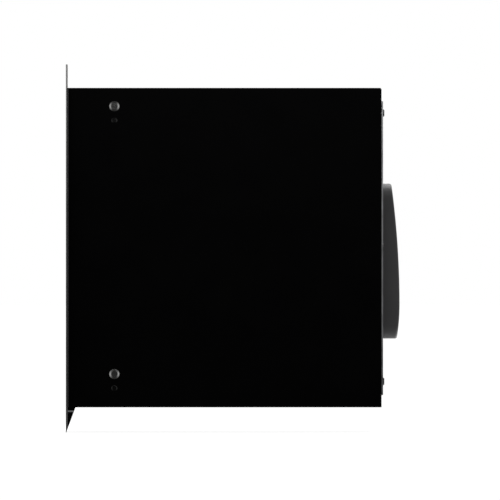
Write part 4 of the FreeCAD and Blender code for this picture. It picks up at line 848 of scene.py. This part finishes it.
def stage_floor():
    """Pale floor just under the lowest edge, bright enough to leave only a faint shadow."""
    mesh = bpy.data.meshes.new("floor")
    reach = 90.0
    level = cad_low[2] - 0.0005
    corners = [(-reach, -reach, level), (reach, -reach, level), (reach, reach, level), (-reach, reach, level)]
    mesh.from_pydata(corners, [], [(0, 1, 2, 3)])
    item = bpy.data.objects.new("floor", mesh)
    bpy.context.scene.collection.objects.link(item)
    shader = Shader("floor_pale", (FLOOR_ALBEDO,) * 3, roughness=0.8, specular=0.0)
    shader.surface.inputs["Emission Color"].default_value = (1, 1, 1, 1)
    shader.surface.inputs["Emission Strength"].default_value = FLOOR_GLOW
    mesh.materials.append(shader.material)
    item.visible_glossy = False


def surroundings():
    """White for the lens; for the object, soft light from beside and behind and little from ahead."""
    world = bpy.data.worlds.new("studio")
    bpy.context.scene.world = world
    world.use_nodes = True
    tree = world.node_tree
    tree.nodes.clear()

    def node(kind, **values):
        item = tree.nodes.new(kind)
        for key, value in values.items():
            setattr(item, key, value)
        return item

    def calculate(operation, first, second):
        item = node("ShaderNodeMath", operation=operation)
        for socket, value in zip(item.inputs, (first, second)):
            if isinstance(value, (int, float)):
                socket.default_value = value
            else:
                tree.links.new(value, socket)
        return item.outputs[0]

    direction = node("ShaderNodeTexCoord")
    split = node("ShaderNodeSeparateXYZ")
    tree.links.new(direction.outputs["Generated"], split.inputs[0])
    up = calculate("MULTIPLY", split.outputs["Z"], split.outputs["Z"])
    beside = calculate("POWER", calculate("ABSOLUTE", split.outputs["Y"], 0.0), 4.0)
    away = calculate("MAXIMUM", calculate("MULTIPLY", split.outputs["X"], -1.0), 0.0)
    behind = calculate("MULTIPLY", away, away)
    strength = calculate("MULTIPLY", up, FILL_ABOVE)
    for share, gain in ((beside, FILL_BESIDE), (behind, FILL_BEHIND)):
        strength = calculate("ADD", strength, calculate("MULTIPLY", share, gain))
    strength = calculate("MAXIMUM", strength, FILL_NEAR)

    seen = node("ShaderNodeBackground")
    fill = node("ShaderNodeBackground")
    for background in (seen, fill):
        background.inputs["Color"].default_value = (1, 1, 1, 1)
    seen.inputs["Strength"].default_value = 1.0
    tree.links.new(strength, fill.inputs["Strength"])
    path = node("ShaderNodeLightPath")
    mix = node("ShaderNodeMixShader")
    output = node("ShaderNodeOutputWorld")
    tree.links.new(path.outputs["Is Camera Ray"], mix.inputs[0])
    tree.links.new(fill.outputs[0], mix.inputs[1])
    tree.links.new(seen.outputs[0], mix.inputs[2])
    tree.links.new(mix.outputs[0], output.inputs["Surface"])


def lights():
    """Broad light from straight above, and softboxes out of the lens's sight."""
    sun = bpy.data.lights.new("skylight", "SUN")
    sun.energy = SUN_POWER
    sun.angle = math.radians(70)
    item = bpy.data.objects.new("skylight", sun)
    item.visible_glossy = False
    bpy.context.scene.collection.objects.link(item)
    for name, place, target, wide, long, watts in SOFTBOXES:
        box = bpy.data.lights.new(name, "AREA")
        box.shape = "RECTANGLE"
        box.size = wide
        box.size_y = long
        box.energy = watts
        item = bpy.data.objects.new(name, box)
        item.visible_camera = False
        aimed(item, place, target)


def camera():
    """Side view from the right, so far off that it has almost no perspective.

    The lens stands near the plane of the trim frame, so that the frame is seen edge on.
    """
    data = bpy.data.cameras.new("camera")
    data.sensor_width = 36
    data.lens = data.sensor_width * (LENS_DISTANCE - NEAR_SIDE) / PHOTO_SPAN
    data.clip_start = 1
    data.clip_end = 400
    item = bpy.data.objects.new("camera", data)
    deep, level = VIEW_MIDDLE
    aimed(item, (LENS_DISTANCE, FRAME_PLANE, level), (NEAR_SIDE, deep, level))
    bpy.context.scene.camera = item


bpy.context.scene.view_settings.view_transform = "Standard"
stage_floor()
surroundings()
lights()
camera()
